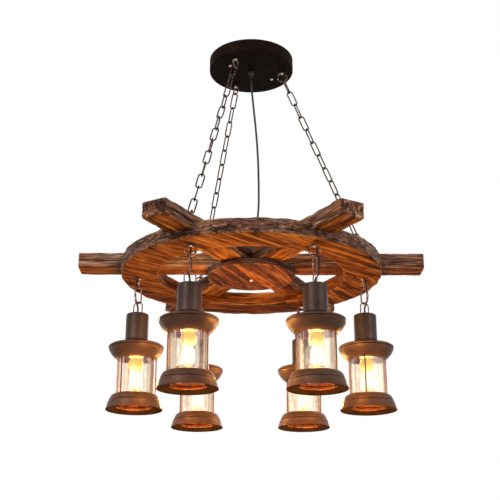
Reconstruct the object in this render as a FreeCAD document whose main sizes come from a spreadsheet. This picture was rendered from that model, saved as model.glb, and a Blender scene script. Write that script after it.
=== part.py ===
import FreeCAD, Part
import math
import os

import Sketcher

# Wagon wheel chandelier. Millimetres, Z up. The origin is the centre of the ceiling face: everything hangs below Z = 0.
# Azimuth 0 is +X (right in the front view), 270 is the front.

# ---------------------------------------------------------------------------------------------------------------
# Driving dimensions
# ---------------------------------------------------------------------------------------------------------------

DIMENSIONS = {
    # ceiling canopy
    "canopy_radius": 104.5,
    "canopy_height": 32.0,
    "canopy_wall": 1.6,
    "canopy_round": 3.0,
    "anchor_radius": 77.5,
    "cover_screw_radius": 62.0,
    "cover_screw_shank": 2.0,
    "grip_radius": 5.0,
    "grip_flange_radius": 8.0,
    "grip_length": 14.0,
    # ceiling bracket and terminal block
    "bracket_length": 140.0,
    "bracket_width": 26.0,
    "bracket_thickness": 2.5,
    "ceiling_bolt_radius": 45.0,
    "ceiling_bolt_hole": 2.6,
    "cable_hole": 8.0,
    "terminal_length": 20.0,
    "terminal_width": 16.0,
    "terminal_height": 12.0,
    # loops and their screws
    "loop_ring": 11.6,
    "loop_wire": 1.9,
    "pad_radius": 5.5,
    "pad_thickness": 3.0,
    "screw_shank": 1.95,
    "screw_head": 3.7,
    "screw_head_height": 2.6,
    "wood_screw_length": 25.0,
    "loop_bolt_length": 8.0,
    "nut_radius": 3.9,
    "nut_height": 3.2,
    # chain and hanger links
    "link_inner_length": 37.3,
    "link_width": 17.0,
    "link_wire": 1.7,
    "link_play": 0.1,
    "lower_play": 1.6,
    # wheel
    "rim_radius": 302.0,
    "rim_inner_radius": 215.0,
    "rim_thickness": 33.0,
    "rim_edge": 2.5,
    "spoke_reach": 400.0,
    "spoke_width": 60.0,
    "spoke_height": 35.5,
    "spoke_seat": 16.5,
    "groove_depth": 2.5,
    "groove_height": 4.0,
    "groove_level": 18.0,
    "hub_radius": 102.0,
    "hub_lift": 1.0,
    "hub_edge": 2.5,
    "hub_bolt_offset": 19.5,
    "hub_bolt_shank": 3.0,
    "hub_bolt_head": 4.5,
    "hook_radius": 261.0,
    # junction box on the hub
    "box_radius": 42.0,
    "box_height": 22.0,
    "box_wall": 1.2,
    "lid_overlap": 1.2,
    "gland_radius": 7.0,
    "gland_height": 8.0,
    "connector_length": 26.0,
    "connector_width": 14.0,
    "connector_height": 11.0,
    # cords
    "supply_cord_radius": 2.5,
    "lead_radius": 2.2,
    "cord_clearance": 0.3,
    "lead_bend": 5.0,
    # lantern, from its open base upward
    "sheet": 1.2,
    "base_radius": 63.5,
    "base_bead_radius": 58.8,
    "base_shoulder_radius": 54.5,
    "base_height": 34.5,
    "base_shoulder": 25.5,
    "base_bead": 17.5,
    "base_round": 12.0,
    "base_seat": 6.0,
    "seat_hole": 39.0,
    "glass_radius": 41.5,
    "glass_wall": 2.0,
    "glass_fit": 0.4,
    "glass_grip": 8.0,
    "window_height": 80.0,
    "cap_radius": 62.5,
    "cap_bowl_height": 27.0,
    "cap_cone_height": 14.0,
    "cap_bowl_round": 55.0,
    "neck_radius": 26.0,
    "neck_height": 65.0,
    "neck_round": 4.0,
    "rod_circle": 46.5,
    "rod_radius": 1.5,
    "rod_tail": 3.0,
    "bail_radius": 12.0,
    "bail_wire": 1.5,
    "bail_leg": 17.8,
    "bushing_radius": 6.0,
    "bushing_height": 6.0,
    "socket_radius": 17.5,
    "socket_height": 70.0,
    "socket_bore": 13.6,
    "socket_depth": 27.0,
    "lamp_cap_radius": 13.2,
    "lamp_cap_height": 25.0,
    "bulb_radius": 20.5,
    "bulb_length": 110.0,
    "bulb_waist": 35.0,
}

CHAIN_LINKS = 13
CHAIN_TWIST = 45.0
SPOKES = 6
STEP = 360.0 / SPOKES
FELLOE_OFFSET = -3.0
COVER_SCREW_AZIMUTHS = (32.0, 212.0)
CHAIN_AZIMUTHS = {"right": 0.0, "rear_left": 120.0, "front_left": 240.0}

# One row per lantern: azimuth of its hook, the turns of its ring, link, bail and guard rods about the vertical, and
# the route of its lead, as offsets from the hook (x, y, height above the rim's underside). The heights are drawn for
# lanterns whose necks end LEAD_FALL below the rim.
LEAD_FALL = 85.1
LANTERNS = {
    "right": (0, 90, -15, 34, 18, [
        (6, 9, 0), (6, 9, -9), (8.4, 9.2, -22), (10.2, 10, -35), (9, 11.4, -47), (4.8, 10.8, -57), (1.2, 6.6, -65.5),
        (0, 0, -73),
    ]),
    "rear_right": (60, 0, 90, 0, 90, [
        (-6, 10, 0), (-6, 10, -9), (-7.6, 9.6, -21), (-9, 9, -34), (-8.8, 8.4, -46), (-6.4, 7, -56.5),
        (-2.8, 4.2, -65.5), (0, 0, -73),
    ]),
    "rear_left": (120, 0, 90, 0, 90, [
        (6, 10, 0), (6, 10, -9), (7.6, 9.6, -21), (9, 9, -34), (8.8, 8.4, -46), (6.4, 7, -56.5), (2.8, 4.2, -65.5),
        (0, 0, -73),
    ]),
    "left": (180, 90, 22, -30, 115, [
        (-6, 9, 0), (-6, 9, -9), (-8.2, 9.4, -22), (-9, 10.4, -35), (-7.4, 11.6, -47), (-4, 10.8, -57),
        (-1, 6.6, -65.5), (0, 0, -73),
    ]),
    "front_left": (240, 0, 70, 0, 90, [
        (0, 12, 0), (0, 12, -9), (-1.6, 12.4, -21), (-3.4, 12.6, -34), (-4.4, 11.6, -46), (-4, 9, -56.5),
        (-2, 5, -65.5), (0, 0, -73),
    ]),
    "front_right": (300, 0, 51, 103, 82, [
        (6, 10.5, 0), (6, 10.5, -9), (8.6, 10.2, -21), (10.6, 8, -35), (11, 5.2, -48), (9.4, 2.6, -58),
        (5.4, 1, -66.5), (0, 0, -73.5),
    ]),
}

# The supply cord's free route from the canopy's grip to the gland on the hub: x, y, and height above the rim's
# underside, drawn for a grip that ends at SUPPLY_TOP and a gland that ends at SUPPLY_BOTTOM.
SUPPLY_TOP = 532.3
SUPPLY_BOTTOM = 83.2
SUPPLY_ROUTE = [
    (0, 0, 524), (1, 0.2, 498), (5, 0.8, 454), (10.2, 1, 400), (14.6, 0.2, 342), (17.2, -1, 284), (18, -2, 224),
    (17.6, -2.2, 172), (12.6, -1.6, 134), (3.6, -0.5, 110), (0, 0, 98),
]

# A spoke lead's route from the box to its hole: shares of the hole's distance out, and of its distance sideways.
SPOKE_ROUTE = [(0.38, 0.3), (0.6, 0.42), (0.83, 0.9)]

# ---------------------------------------------------------------------------------------------------------------
# The sheet, and sizes that remember how its cells make them
# ---------------------------------------------------------------------------------------------------------------

doc = FreeCAD.newDocument("WagonWheelChandelier")
sheet = doc.addObject("Spreadsheet::Sheet", "Sizes")


class Size:
    """A length with its value and the expression over the sheet's cells that gives it."""

    def __init__(self, value, text):
        self.value = value
        self.text = text

    def __add__(self, other):
        other = as_size(other)
        return Size(self.value + other.value, f"({self.text} + {other.text})")

    def __sub__(self, other):
        other = as_size(other)
        return Size(self.value - other.value, f"({self.text} - {other.text})")

    def __mul__(self, other):
        other = as_size(other)
        return Size(self.value * other.value, f"({self.text} * {other.text})")

    def __truediv__(self, other):
        other = as_size(other)
        return Size(self.value / other.value, f"({self.text} / {other.text})")

    def __neg__(self):
        return Size(-self.value, f"(0 - {self.text})")

    __radd__ = __add__
    __rmul__ = __mul__

    def __rsub__(self, other):
        return as_size(other) - self


def as_size(number):
    """number itself if it is a Size, else a Size of that plain number."""
    if isinstance(number, Size):
        return number
    return Size(float(number), f"({float(number):.9f})")


def root(size):
    """The square root of a Size."""
    return Size(math.sqrt(size.value), f"sqrt({size.text})")


class Named:
    """The sizes by name."""


s = Named()
for row, (name, value) in enumerate(DIMENSIONS.items(), start=1):
    sheet.set(f"A{row}", name)
    sheet.set(f"B{row}", str(value))
    sheet.setAlias(f"B{row}", name)
doc.recompute()
for name in DIMENSIONS:
    setattr(s, name, Size(float(sheet.get(name)), f"Sizes.{name}"))

# Lengths worked out from the driving dimensions.
loop_drop = s.loop_ring + s.loop_wire
link_reach = s.link_inner_length + s.link_wire * 2
link_step = link_reach - s.link_wire * 2 - s.link_play
hook_gap = s.loop_wire + s.link_wire + s.link_play
chain_span = link_reach + link_step * (CHAIN_LINKS - 1) - hook_gap * 2 - s.lower_play
ring_to_ring = chain_span + s.loop_ring * 2
spread = s.hook_radius - s.anchor_radius
chain_fall = root(ring_to_ring * ring_to_ring - spread * spread)
spoke_top = s.spoke_seat + s.spoke_height
wheel_level = -(s.canopy_height + loop_drop * 2 + chain_fall + spoke_top)
hub_height = s.spoke_seat - s.hub_lift

# Heights of a lantern's pieces above its open base.
cap_level = s.base_height + s.window_height
neck_level = cap_level + s.cap_bowl_height + s.cap_cone_height
neck_top = neck_level + s.neck_height
link_top = -(loop_drop + s.loop_ring) + hook_gap
link_bottom = link_top - link_reach
bail_top = link_bottom + s.link_wire + s.bail_wire + s.link_play
lantern_level = bail_top - s.bail_radius - s.bail_leg - neck_top


# ---------------------------------------------------------------------------------------------------------------
# Ways of making pieces
# ---------------------------------------------------------------------------------------------------------------


def bind(thing, **sizes):
    """Ties properties of thing to the sheet."""
    for name, size in sizes.items():
        thing.setExpression(name, as_size(size).text)


def stand(thing, x=0, y=0, z=0, turn=0):
    """Turns thing about the vertical and ties its place to the sheet."""
    thing.Placement = FreeCAD.Placement(
        FreeCAD.Vector(as_size(x).value, as_size(y).value, as_size(z).value),
        FreeCAD.Rotation(FreeCAD.Vector(0, 0, 1), turn),
    )
    bind(thing, **{".Placement.Base.x": x, ".Placement.Base.y": y, ".Placement.Base.z": z})
    return thing


def at_azimuth(radius, azimuth):
    """x and y of a point at radius and azimuth."""
    angle = math.radians(azimuth)
    return radius * math.cos(angle), radius * math.sin(angle)


def origin_plane(body, role):
    """The body's own origin plane of that role."""
    return [feature for feature in body.Origin.OriginFeatures if feature.Role == role][0]


def new_body(name):
    body = doc.addObject("PartDesign::Body", name)
    body.Label = name
    return body


def new_sketch(body, name, role):
    sketch = body.newObject("Sketcher::SketchObject", name)
    sketch.AttachmentSupport = (origin_plane(body, role), [""])
    sketch.MapMode = "FlatFace"
    return sketch


def tie_point(sketch, geometry, end, across, up):
    """Fixes one end of a piece of geometry at sheet-driven coordinates, all of them zero or more."""
    for size, kind, axis in ((across, "DistanceX", -2), (up, "DistanceY", -1)):
        size = as_size(size)
        if abs(size.value) < 1e-9:
            sketch.addConstraint(Sketcher.Constraint("PointOnObject", geometry, end, axis))
            continue
        number = sketch.addConstraint(Sketcher.Constraint(kind, -1, 1, geometry, end, size.value))
        sketch.setExpression(f"Constraints[{number}]", size.text)


def draw_outline(sketch, corners):
    """A closed outline. A corner is (across, up), or (across, up, radius) where an arc leads to the next corner.

    A positive radius bulges to the right of the way from corner to corner, a negative one to the left.
    """
    up_axis = FreeCAD.Vector(0, 0, 1)
    spans = []
    for number, corner in enumerate(corners):
        follower = corners[(number + 1) % len(corners)]
        first = FreeCAD.Vector(as_size(corner[0]).value, as_size(corner[1]).value, 0)
        last = FreeCAD.Vector(as_size(follower[0]).value, as_size(follower[1]).value, 0)
        if len(corner) == 2:
            spans.append((sketch.addGeometry(Part.LineSegment(first, last), False), 1, 2))
            continue
        bulge = as_size(corner[2])
        radius = abs(bulge.value)
        chord = last - first
        side = FreeCAD.Vector(chord.y, -chord.x, 0).normalize()
        if bulge.value < 0:
            side = side * -1
        height = math.sqrt(max(radius * radius - chord.Length * chord.Length / 4, 0))
        centre = (first + last) * 0.5 - side * height
        circle = Part.Circle(centre, up_axis, radius)
        start_angle = math.atan2(first.y - centre.y, first.x - centre.x)
        end_angle = math.atan2(last.y - centre.y, last.x - centre.x)
        if bulge.value > 0:
            spans.append((sketch.addGeometry(Part.ArcOfCircle(circle, start_angle, end_angle), False), 1, 2))
        else:
            spans.append((sketch.addGeometry(Part.ArcOfCircle(circle, end_angle, start_angle), False), 2, 1))
    for number, (geometry, _start, end) in enumerate(spans):
        follower = spans[(number + 1) % len(spans)]
        sketch.addConstraint(Sketcher.Constraint("Coincident", geometry, end, follower[0], follower[1]))
    for corner, (geometry, start, _end) in zip(corners, spans):
        tie_point(sketch, geometry, start, corner[0], corner[1])
        if len(corner) == 3:
            bulge = as_size(corner[2])
            length = bulge if bulge.value > 0 else -bulge
            number = sketch.addConstraint(Sketcher.Constraint("Radius", geometry, length.value))
            sketch.setExpression(f"Constraints[{number}]", length.text)


def turned(name, corners):
    """A body of revolution about the vertical, from its outline in the half plane across, up."""
    body = new_body(name)
    sketch = new_sketch(body, name + "_outline", "XZ_Plane")
    draw_outline(sketch, corners)
    turn = body.newObject("PartDesign::Revolution", name + "_turn")
    turn.Profile = sketch
    turn.ReferenceAxis = (sketch, ["V_Axis"])
    turn.Angle = 360
    doc.recompute()
    return body


def drill(body, name, holes, depth):
    """Round holes from the body's own XY plane upward: holes are (x, y, radius)."""
    sketch = new_sketch(body, name, "XY_Plane")
    for x, y, radius in holes:
        x, y, radius = as_size(x), as_size(y), as_size(radius)
        centre = FreeCAD.Vector(x.value, y.value, 0)
        geometry = sketch.addGeometry(Part.Circle(centre, FreeCAD.Vector(0, 0, 1), radius.value), False)
        number = sketch.addConstraint(Sketcher.Constraint("Radius", geometry, radius.value))
        sketch.setExpression(f"Constraints[{number}]", radius.text)
        for size, kind, axis in ((x, "DistanceX", -2), (y, "DistanceY", -1)):
            if abs(size.value) < 1e-6:
                sketch.addConstraint(Sketcher.Constraint("PointOnObject", geometry, 3, axis))
                continue
            number = sketch.addConstraint(Sketcher.Constraint(kind, -1, 1, geometry, 3, size.value))
            sketch.setExpression(f"Constraints[{number}]", size.text)
    before = body.Shape.Volume
    pocket = body.newObject("PartDesign::Pocket", name + "_pocket")
    pocket.Profile = sketch
    pocket.Reversed = True
    bind(pocket, Length=depth)
    doc.recompute()
    if body.Shape.Volume >= before:
        raise ValueError(f"{name} cuts nothing")
    return body


def cylinder(name, radius, height, x=0, y=0, z=0):
    """An upright cylinder from height z upward."""
    piece = doc.addObject("Part::Cylinder", name)
    bind(piece, Radius=radius, Height=height)
    return stand(piece, x, y, z)


def box(name, length, width, height, x=0, y=0, z=0):
    """A block centred on x and y, from height z upward."""
    piece = doc.addObject("Part::Box", name)
    bind(piece, Length=length, Width=width, Height=height)
    return stand(piece, x - as_size(length) / 2, y - as_size(width) / 2, z)


def fused(name, *pieces):
    whole = doc.addObject("Part::MultiFuse", name)
    whole.Shapes = list(pieces)
    return whole


def cut(name, base, tool):
    rest = doc.addObject("Part::Cut", name)
    rest.Base = base
    rest.Tool = tool
    return rest


def together(name, *pieces):
    """Separate solids side by side, not joined."""
    group = doc.addObject("Part::Compound", name)
    group.Links = list(pieces)
    return group


def at_turn(name, piece, turn, x=0, y=0, z=0):
    """A copy of piece, turned about the vertical and set in its place."""
    return stand(together(name, piece), x, y, z, turn)


def upside_down(name, piece):
    """A copy of piece, turned over about X."""
    copy = together(name, piece)
    copy.Placement = FreeCAD.Placement(FreeCAD.Vector(0, 0, 0), FreeCAD.Rotation(FreeCAD.Vector(1, 0, 0), 180))
    return copy


nodes = []


def node(name, *pieces, x=0, y=0, z=0, turn=0):
    """One named sub-part: one piece, or a group of separate solids that belong together."""
    group = together(name, *pieces)
    group.Label = name
    nodes.append(stand(group, x, y, z, turn))


def shaped_node(name, shape, x=0, y=0, z=0, turn=0):
    """A sub-part whose shape is made in code from the sheet's values."""
    feature = doc.addObject("Part::Feature", name)
    feature.Label = name
    feature.Shape = shape
    nodes.append(stand(feature, x, y, z, turn))


# ---------------------------------------------------------------------------------------------------------------
# Cords: straight runs joined by tangent arcs
# ---------------------------------------------------------------------------------------------------------------

RUN_SHARE = 0.45


def cord_tube(name, points, radius, bends=None):
    """A round cord along points. bends gives the arc radius at a point where that is a fixed size."""
    bends = bends or {}
    points = [FreeCAD.Vector(*point) for point in points]
    edges = []
    radii = []
    here = points[0]
    for number in range(1, len(points) - 1):
        before = points[number] - points[number - 1]
        after = points[number + 1] - points[number]
        turn = before.getAngle(after)
        half = math.tan(turn / 2)
        bend = bends.get(number, RUN_SHARE * min(before.Length, after.Length) / half)
        radii.append(bend)
        before.normalize()
        after.normalize()
        enter = points[number] - before * (bend * half)
        leave = points[number] + after * (bend * half)
        inward = (after - before).normalize()
        centre = points[number] + inward * (bend / math.cos(turn / 2))
        middle = centre - inward * bend
        edges.append(Part.LineSegment(here, enter).toShape())
        edges.append(Part.Arc(enter, middle, leave).toShape())
        here = leave
    edges.append(Part.LineSegment(here, points[-1]).toShape())
    path = Part.Wire(edges)
    section = Part.Wire([Part.Circle(points[0], points[1] - points[0], radius).toShape()])
    tube = path.makePipeShell([section], True, True)
    wanted = math.pi * radius * radius * path.Length
    print(
        f"{name}: length {path.Length:.1f}, smallest radius {min(radii):.1f},"
        f" volume {tube.Volume:.0f} against {wanted:.0f}"
    )
    if abs(tube.Volume / wanted - 1) > 0.01:
        raise ValueError(f"{name}'s tube has the wrong volume")
    return tube


# ---------------------------------------------------------------------------------------------------------------
# Loops, screws and links
# ---------------------------------------------------------------------------------------------------------------


def make_loop():
    """A ring that hangs below its mounting face at height 0, with a drilled pad at its top."""
    ring = doc.addObject("Part::Torus", "loop_ring_wire")
    bind(ring, Radius1=s.loop_ring, Radius2=s.loop_wire)
    ring.Placement = FreeCAD.Placement(FreeCAD.Vector(0, 0, 0), FreeCAD.Rotation(FreeCAD.Vector(1, 0, 0), 90))
    bind(ring, **{".Placement.Base.z": -loop_drop})
    pad = cylinder("loop_pad", s.pad_radius, s.pad_thickness, z=-s.pad_thickness)
    hole = cylinder("loop_hole", s.screw_shank + 0.05, s.pad_thickness * 2, z=-s.pad_thickness * 1.5)
    seat = cylinder("loop_seat", s.screw_head + 0.1, s.loop_ring, z=-s.pad_thickness - s.loop_ring)
    return cut("loop", fused("loop_blank", ring, pad), together("loop_cuts", hole, seat))


def make_screw(name, shank, head, head_height, length):
    """A dome-headed screw, its head below height 0 and its shank up to length."""
    body = turned(name, [
        (0, 0),
        (head * 0.55, 0, head * 1.0),
        (head, head_height * 0.75),
        (head, head_height),
        (shank, head_height),
        (shank, head_height + length),
        (0, head_height + length),
    ])
    return stand(body, z=-head_height)


def link_shape():
    """A long link in the X, Z plane: its top wire's centre at the origin, its length down."""
    wire = s.link_wire.value
    bend = s.link_width.value / 2 - wire
    length = link_reach.value
    top = FreeCAD.Vector(0, 0, -bend)
    bottom = FreeCAD.Vector(0, 0, bend - length)
    right = FreeCAD.Vector(bend, 0, 0)
    rise = FreeCAD.Vector(0, 0, bend)
    path = Part.Wire([
        Part.Arc(top - right, top + rise, top + right).toShape(),
        Part.LineSegment(top + right, bottom + right).toShape(),
        Part.Arc(bottom + right, bottom - rise, bottom - right).toShape(),
        Part.LineSegment(bottom - right, top - right).toShape(),
    ])
    section = Part.Wire([Part.Circle(top - right, FreeCAD.Vector(0, 0, 1), wire).toShape()])
    link = path.makePipeShell([section], True, True)
    wanted = math.pi * wire * wire * path.Length
    if abs(link.Volume / wanted - 1) > 0.01:
        raise ValueError("the link's tube has the wrong volume")
    return link


def chain_shape(azimuth):
    """The links from a canopy loop to a spoke loop, above the rim's underside, each turned a quarter from the last."""
    angle = math.radians(azimuth)
    outward = FreeCAD.Vector(math.cos(angle), math.sin(angle), 0)
    upper = outward * s.anchor_radius.value + FreeCAD.Vector(0, 0, (spoke_top + loop_drop + chain_fall).value)
    lower = outward * s.hook_radius.value + FreeCAD.Vector(0, 0, (spoke_top + loop_drop).value)
    along = (lower - upper).normalize()
    # The last link pulls on the spoke loop's wire, which lies a little off the line between the loops' centres.
    facing = math.radians(azimuth + CHAIN_TWIST + 90)
    square = FreeCAD.Vector(math.cos(facing), math.sin(facing), 0)
    pull = (square * square.dot(along) - along).normalize()
    along = (lower + pull * s.loop_ring.value - upper).normalize()
    start = upper + along * (s.loop_ring - hook_gap).value
    lean = FreeCAD.Rotation(FreeCAD.Vector(0, 0, -1), along)
    crosswise = FreeCAD.Rotation(FreeCAD.Vector(0, 0, 1), azimuth + 90)
    links = []
    for number in range(CHAIN_LINKS):
        roll = 90 * number + CHAIN_TWIST * number / (CHAIN_LINKS - 1)
        turn = lean.multiply(crosswise).multiply(FreeCAD.Rotation(FreeCAD.Vector(0, 0, 1), roll))
        link = one_link.copy()
        link.Placement = FreeCAD.Placement(start + along * (number * link_step.value), turn)
        links.append(link)
    return Part.makeCompound(links)


one_link = link_shape()
loop = make_loop()
loop_bolt = make_screw("loop_bolt", s.screw_shank, s.screw_head, s.screw_head_height, s.loop_bolt_length)
wood_screw = make_screw("wood_screw", s.screw_shank, s.screw_head, s.screw_head_height, s.wood_screw_length)

# ---------------------------------------------------------------------------------------------------------------
# Canopy and what it holds
# ---------------------------------------------------------------------------------------------------------------

anchor_places = [at_azimuth(s.anchor_radius, azimuth) for azimuth in CHAIN_AZIMUTHS.values()]
cover_places = [at_azimuth(s.cover_screw_radius, azimuth) for azimuth in COVER_SCREW_AZIMUTHS]

canopy = turned("canopy_pan", [
    (0, 0),
    (s.canopy_radius - s.canopy_round, 0, s.canopy_round),
    (s.canopy_radius, s.canopy_round),
    (s.canopy_radius, s.canopy_height),
    (s.canopy_radius - s.canopy_wall, s.canopy_height),
    (s.canopy_radius - s.canopy_wall, s.canopy_round, s.canopy_wall - s.canopy_round),
    (s.canopy_radius - s.canopy_round, s.canopy_wall),
    (0, s.canopy_wall),
])
drill(
    canopy,
    "canopy_holes",
    [(0, 0, s.grip_radius + 0.1)]
    + [(x, y, s.screw_shank + 0.1) for x, y in anchor_places]
    + [(x, y, s.cover_screw_shank + 0.15) for x, y in cover_places],
    s.canopy_wall * 2,
)
node("canopy_shell", canopy, z=-s.canopy_height)

bracket_bar = box("bracket_bar", s.bracket_length, s.bracket_width, s.bracket_thickness)
bracket_holes = together(
    "bracket_holes",
    cylinder("bracket_cable_hole", s.cable_hole, s.bracket_thickness * 3, z=-s.bracket_thickness),
    *[
        cylinder(f"bracket_bolt_hole_{side}", s.ceiling_bolt_hole, s.bracket_thickness * 3,
                 x=s.ceiling_bolt_radius * side, z=-s.bracket_thickness)
        for side in (1, -1)
    ],
    *[
        cylinder(f"bracket_cover_hole_{side}", s.cover_screw_shank + 0.05, s.bracket_thickness * 3,
                 x=s.cover_screw_radius * side, z=-s.bracket_thickness)
        for side in (1, -1)
    ],
)
node("ceiling_bracket", cut("bracket", bracket_bar, bracket_holes), z=-s.bracket_thickness,
     turn=COVER_SCREW_AZIMUTHS[0])

terminal = box("terminal_blank", s.terminal_length, s.terminal_width, s.terminal_height,
               x=s.cable_hole + 3 + s.terminal_length / 2)
terminal_bores = together("terminal_bores", *[
    box(f"terminal_bore_{side}", s.terminal_length * 2, s.terminal_width / 5, s.terminal_height / 4,
        x=s.cable_hole + 3 + s.terminal_length / 2, y=s.terminal_width / 4 * side, z=s.terminal_height / 3)
    for side in (1, -1)
])
node("terminal_block", cut("terminal", terminal, terminal_bores), z=-(s.bracket_thickness + s.terminal_height),
     turn=COVER_SCREW_AZIMUTHS[0])

cover_screw = make_screw("cover_screw", s.cover_screw_shank, s.screw_head, s.screw_head_height,
                         s.canopy_height - 0.5)
node("canopy_screws", *[
    at_turn(f"cover_screw_{number}", cover_screw, 0, x, y) for number, (x, y) in enumerate(cover_places)
], z=-s.canopy_height)

node("canopy_loops", *[
    at_turn(f"canopy_loop_{name}", loop, azimuth, *at_azimuth(s.anchor_radius, azimuth))
    for name, azimuth in CHAIN_AZIMUTHS.items()
], z=-s.canopy_height)

node("canopy_loop_screws", *[
    at_turn(f"loop_bolt_{number}", loop_bolt, 0, x, y, -s.pad_thickness) for number, (x, y) in enumerate(anchor_places)
], z=-s.canopy_height)

nut = doc.addObject("Part::Prism", "nut_blank")
nut.Polygon = 6
bind(nut, Circumradius=s.nut_radius, Height=s.nut_height)
nut_hole = cylinder("nut_hole", s.screw_shank + 0.05, s.nut_height * 3, z=-s.nut_height)
loop_nut = cut("loop_nut", nut, nut_hole)
node("canopy_loop_nuts", *[
    at_turn(f"loop_nut_{number}", loop_nut, 0, x, y) for number, (x, y) in enumerate(anchor_places)
], z=s.canopy_wall - s.canopy_height)

cord_bore = s.supply_cord_radius + s.cord_clearance
grip = turned("grip_bush", [
    (cord_bore, 0),
    (s.grip_radius * 0.8, 0),
    (s.grip_flange_radius * 0.8, s.grip_length * 0.7),
    (s.grip_flange_radius, s.grip_length * 0.75),
    (s.grip_flange_radius, s.grip_length),
    (s.grip_radius, s.grip_length),
    (s.grip_radius, s.grip_length + s.canopy_wall * 4),
    (cord_bore, s.grip_length + s.canopy_wall * 4),
])
node("cord_grip", grip, z=-(s.canopy_height + s.grip_length))

# ---------------------------------------------------------------------------------------------------------------
# Wheel: heights here are above the rim's underside
# ---------------------------------------------------------------------------------------------------------------

azimuths = [STEP * number for number in range(SPOKES)]
hook_places = [at_azimuth(s.hook_radius, azimuth) for azimuth in azimuths]
chain_places = [at_azimuth(s.hook_radius, azimuth) for azimuth in CHAIN_AZIMUTHS.values()]
lead_places = [
    (at_azimuth(s.hook_radius, azimuth)[0] + route[0][0], at_azimuth(s.hook_radius, azimuth)[1] + route[0][1])
    for azimuth, _ring, _link, _bail, _rods, route in LANTERNS.values()
]

lead_hole = s.lead_radius + s.cord_clearance
drills = [
    cylinder(f"hook_screw_hole_{number}", s.screw_shank + 0.05, s.wood_screw_length - s.pad_thickness + 1.0, x, y, -1)
    for number, (x, y) in enumerate(hook_places)
]
drills += [
    cylinder(f"chain_screw_hole_{number}", s.screw_shank + 0.05, s.wood_screw_length, x, y,
             spoke_top + s.pad_thickness - s.wood_screw_length)
    for number, (x, y) in enumerate(chain_places)
]
for number, (x, y) in enumerate(lead_places):
    drills.append(cylinder(f"lead_hole_{number}", lead_hole, spoke_top + 2, x, y, -1))
    mouth = doc.addObject("Part::Cone", f"lead_mouth_{number}")
    bind(mouth, Radius1=lead_hole, Radius2=lead_hole + s.lead_bend, Height=s.lead_bend + 1)
    drills.append(stand(mouth, x, y, spoke_top - s.lead_bend))
drills.append(
    cylinder("hub_bolt_hole", s.hub_bolt_shank + 0.05, spoke_top + 2, y=s.hub_bolt_offset, z=-1)
)
holes = together("wheel_drills", *drills)

rim_ring = turned("rim_ring", [
    (s.rim_inner_radius + s.rim_edge, 0),
    (s.rim_radius - s.rim_edge, 0),
    (s.rim_radius, s.rim_edge),
    (s.rim_radius, s.rim_thickness - s.rim_edge),
    (s.rim_radius - s.rim_edge, s.rim_thickness),
    (s.rim_inner_radius + s.rim_edge, s.rim_thickness),
    (s.rim_inner_radius, s.rim_thickness - s.rim_edge),
    (s.rim_inner_radius, s.rim_edge),
])
notch_bars = together("rim_notches", *[
    at_turn(f"notch_turned_{number}",
            box(f"notch_{number}", s.rim_radius * 2 + 20, s.spoke_width, s.spoke_height, z=s.spoke_seat),
            STEP * number)
    for number in range(SPOKES // 2)
])
notched_ring = cut("notched_ring", cut("seated_ring", rim_ring, notch_bars), holes)


def felloe(number):
    """One curved rim piece: a sixth of the ring, its joints a little beside the spokes' middles."""
    sector = doc.addObject("Part::Cylinder", f"felloe_sector_{number}")
    sector.Angle = STEP
    bind(sector, Radius=s.rim_radius + 10, Height=s.rim_thickness)
    stand(sector, turn=STEP * number + FELLOE_OFFSET)
    piece = doc.addObject("Part::Common", f"felloe_{number}")
    piece.Base = notched_ring
    piece.Tool = sector
    return piece


node("rim_felloes", *[felloe(number) for number in range(SPOKES)], z=wheel_level)


def spoke_blank():
    """A straight arm along X with a groove in both sides, its inner end a sixth of a circle's wedge."""
    body = new_body("arm_beam")
    sketch = new_sketch(body, "arm_section", "YZ_Plane")
    half = s.spoke_width / 2
    groove_low = s.groove_level - s.groove_height / 2
    groove_high = s.groove_level + s.groove_height / 2
    draw_outline(sketch, [
        (0, 0), (s.spoke_width, 0), (s.spoke_width, groove_low), (s.spoke_width - s.groove_depth, s.groove_level),
        (s.spoke_width, groove_high), (s.spoke_width, s.spoke_height), (0, s.spoke_height), (0, groove_high),
        (s.groove_depth, s.groove_level), (0, groove_low),
    ])
    pad = body.newObject("PartDesign::Pad", "arm_pad")
    pad.Profile = sketch
    bind(pad, Length=s.spoke_reach)
    stand(body, y=-half)
    sector = doc.addObject("Part::Cylinder", "arm_wedge")
    sector.Angle = STEP
    bind(sector, Radius=s.spoke_reach * 2, Height=s.spoke_height)
    stand(sector, turn=-STEP / 2)
    arm = doc.addObject("Part::Common", "arm")
    arm.Base = body
    arm.Tool = sector
    return arm


arm = spoke_blank()
spoke_pieces = [
    cut(f"spoke_{number}", at_turn(f"arm_{number}", arm, azimuth, z=s.spoke_seat), holes)
    for number, azimuth in enumerate(azimuths)
]
node("spokes", *spoke_pieces, z=wheel_level)

hub = turned("hub_blank", [
    (0, 0),
    (s.hub_radius - s.hub_edge, 0),
    (s.hub_radius, s.hub_edge),
    (s.hub_radius, hub_height - s.hub_edge),
    (s.hub_radius - s.hub_edge, hub_height),
    (0, hub_height),
])
drill(hub, "hub_hole", [(0, s.hub_bolt_offset, s.hub_bolt_shank + 0.05)], hub_height * 2)
node("hub_disc", hub, z=wheel_level + s.hub_lift)

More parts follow.
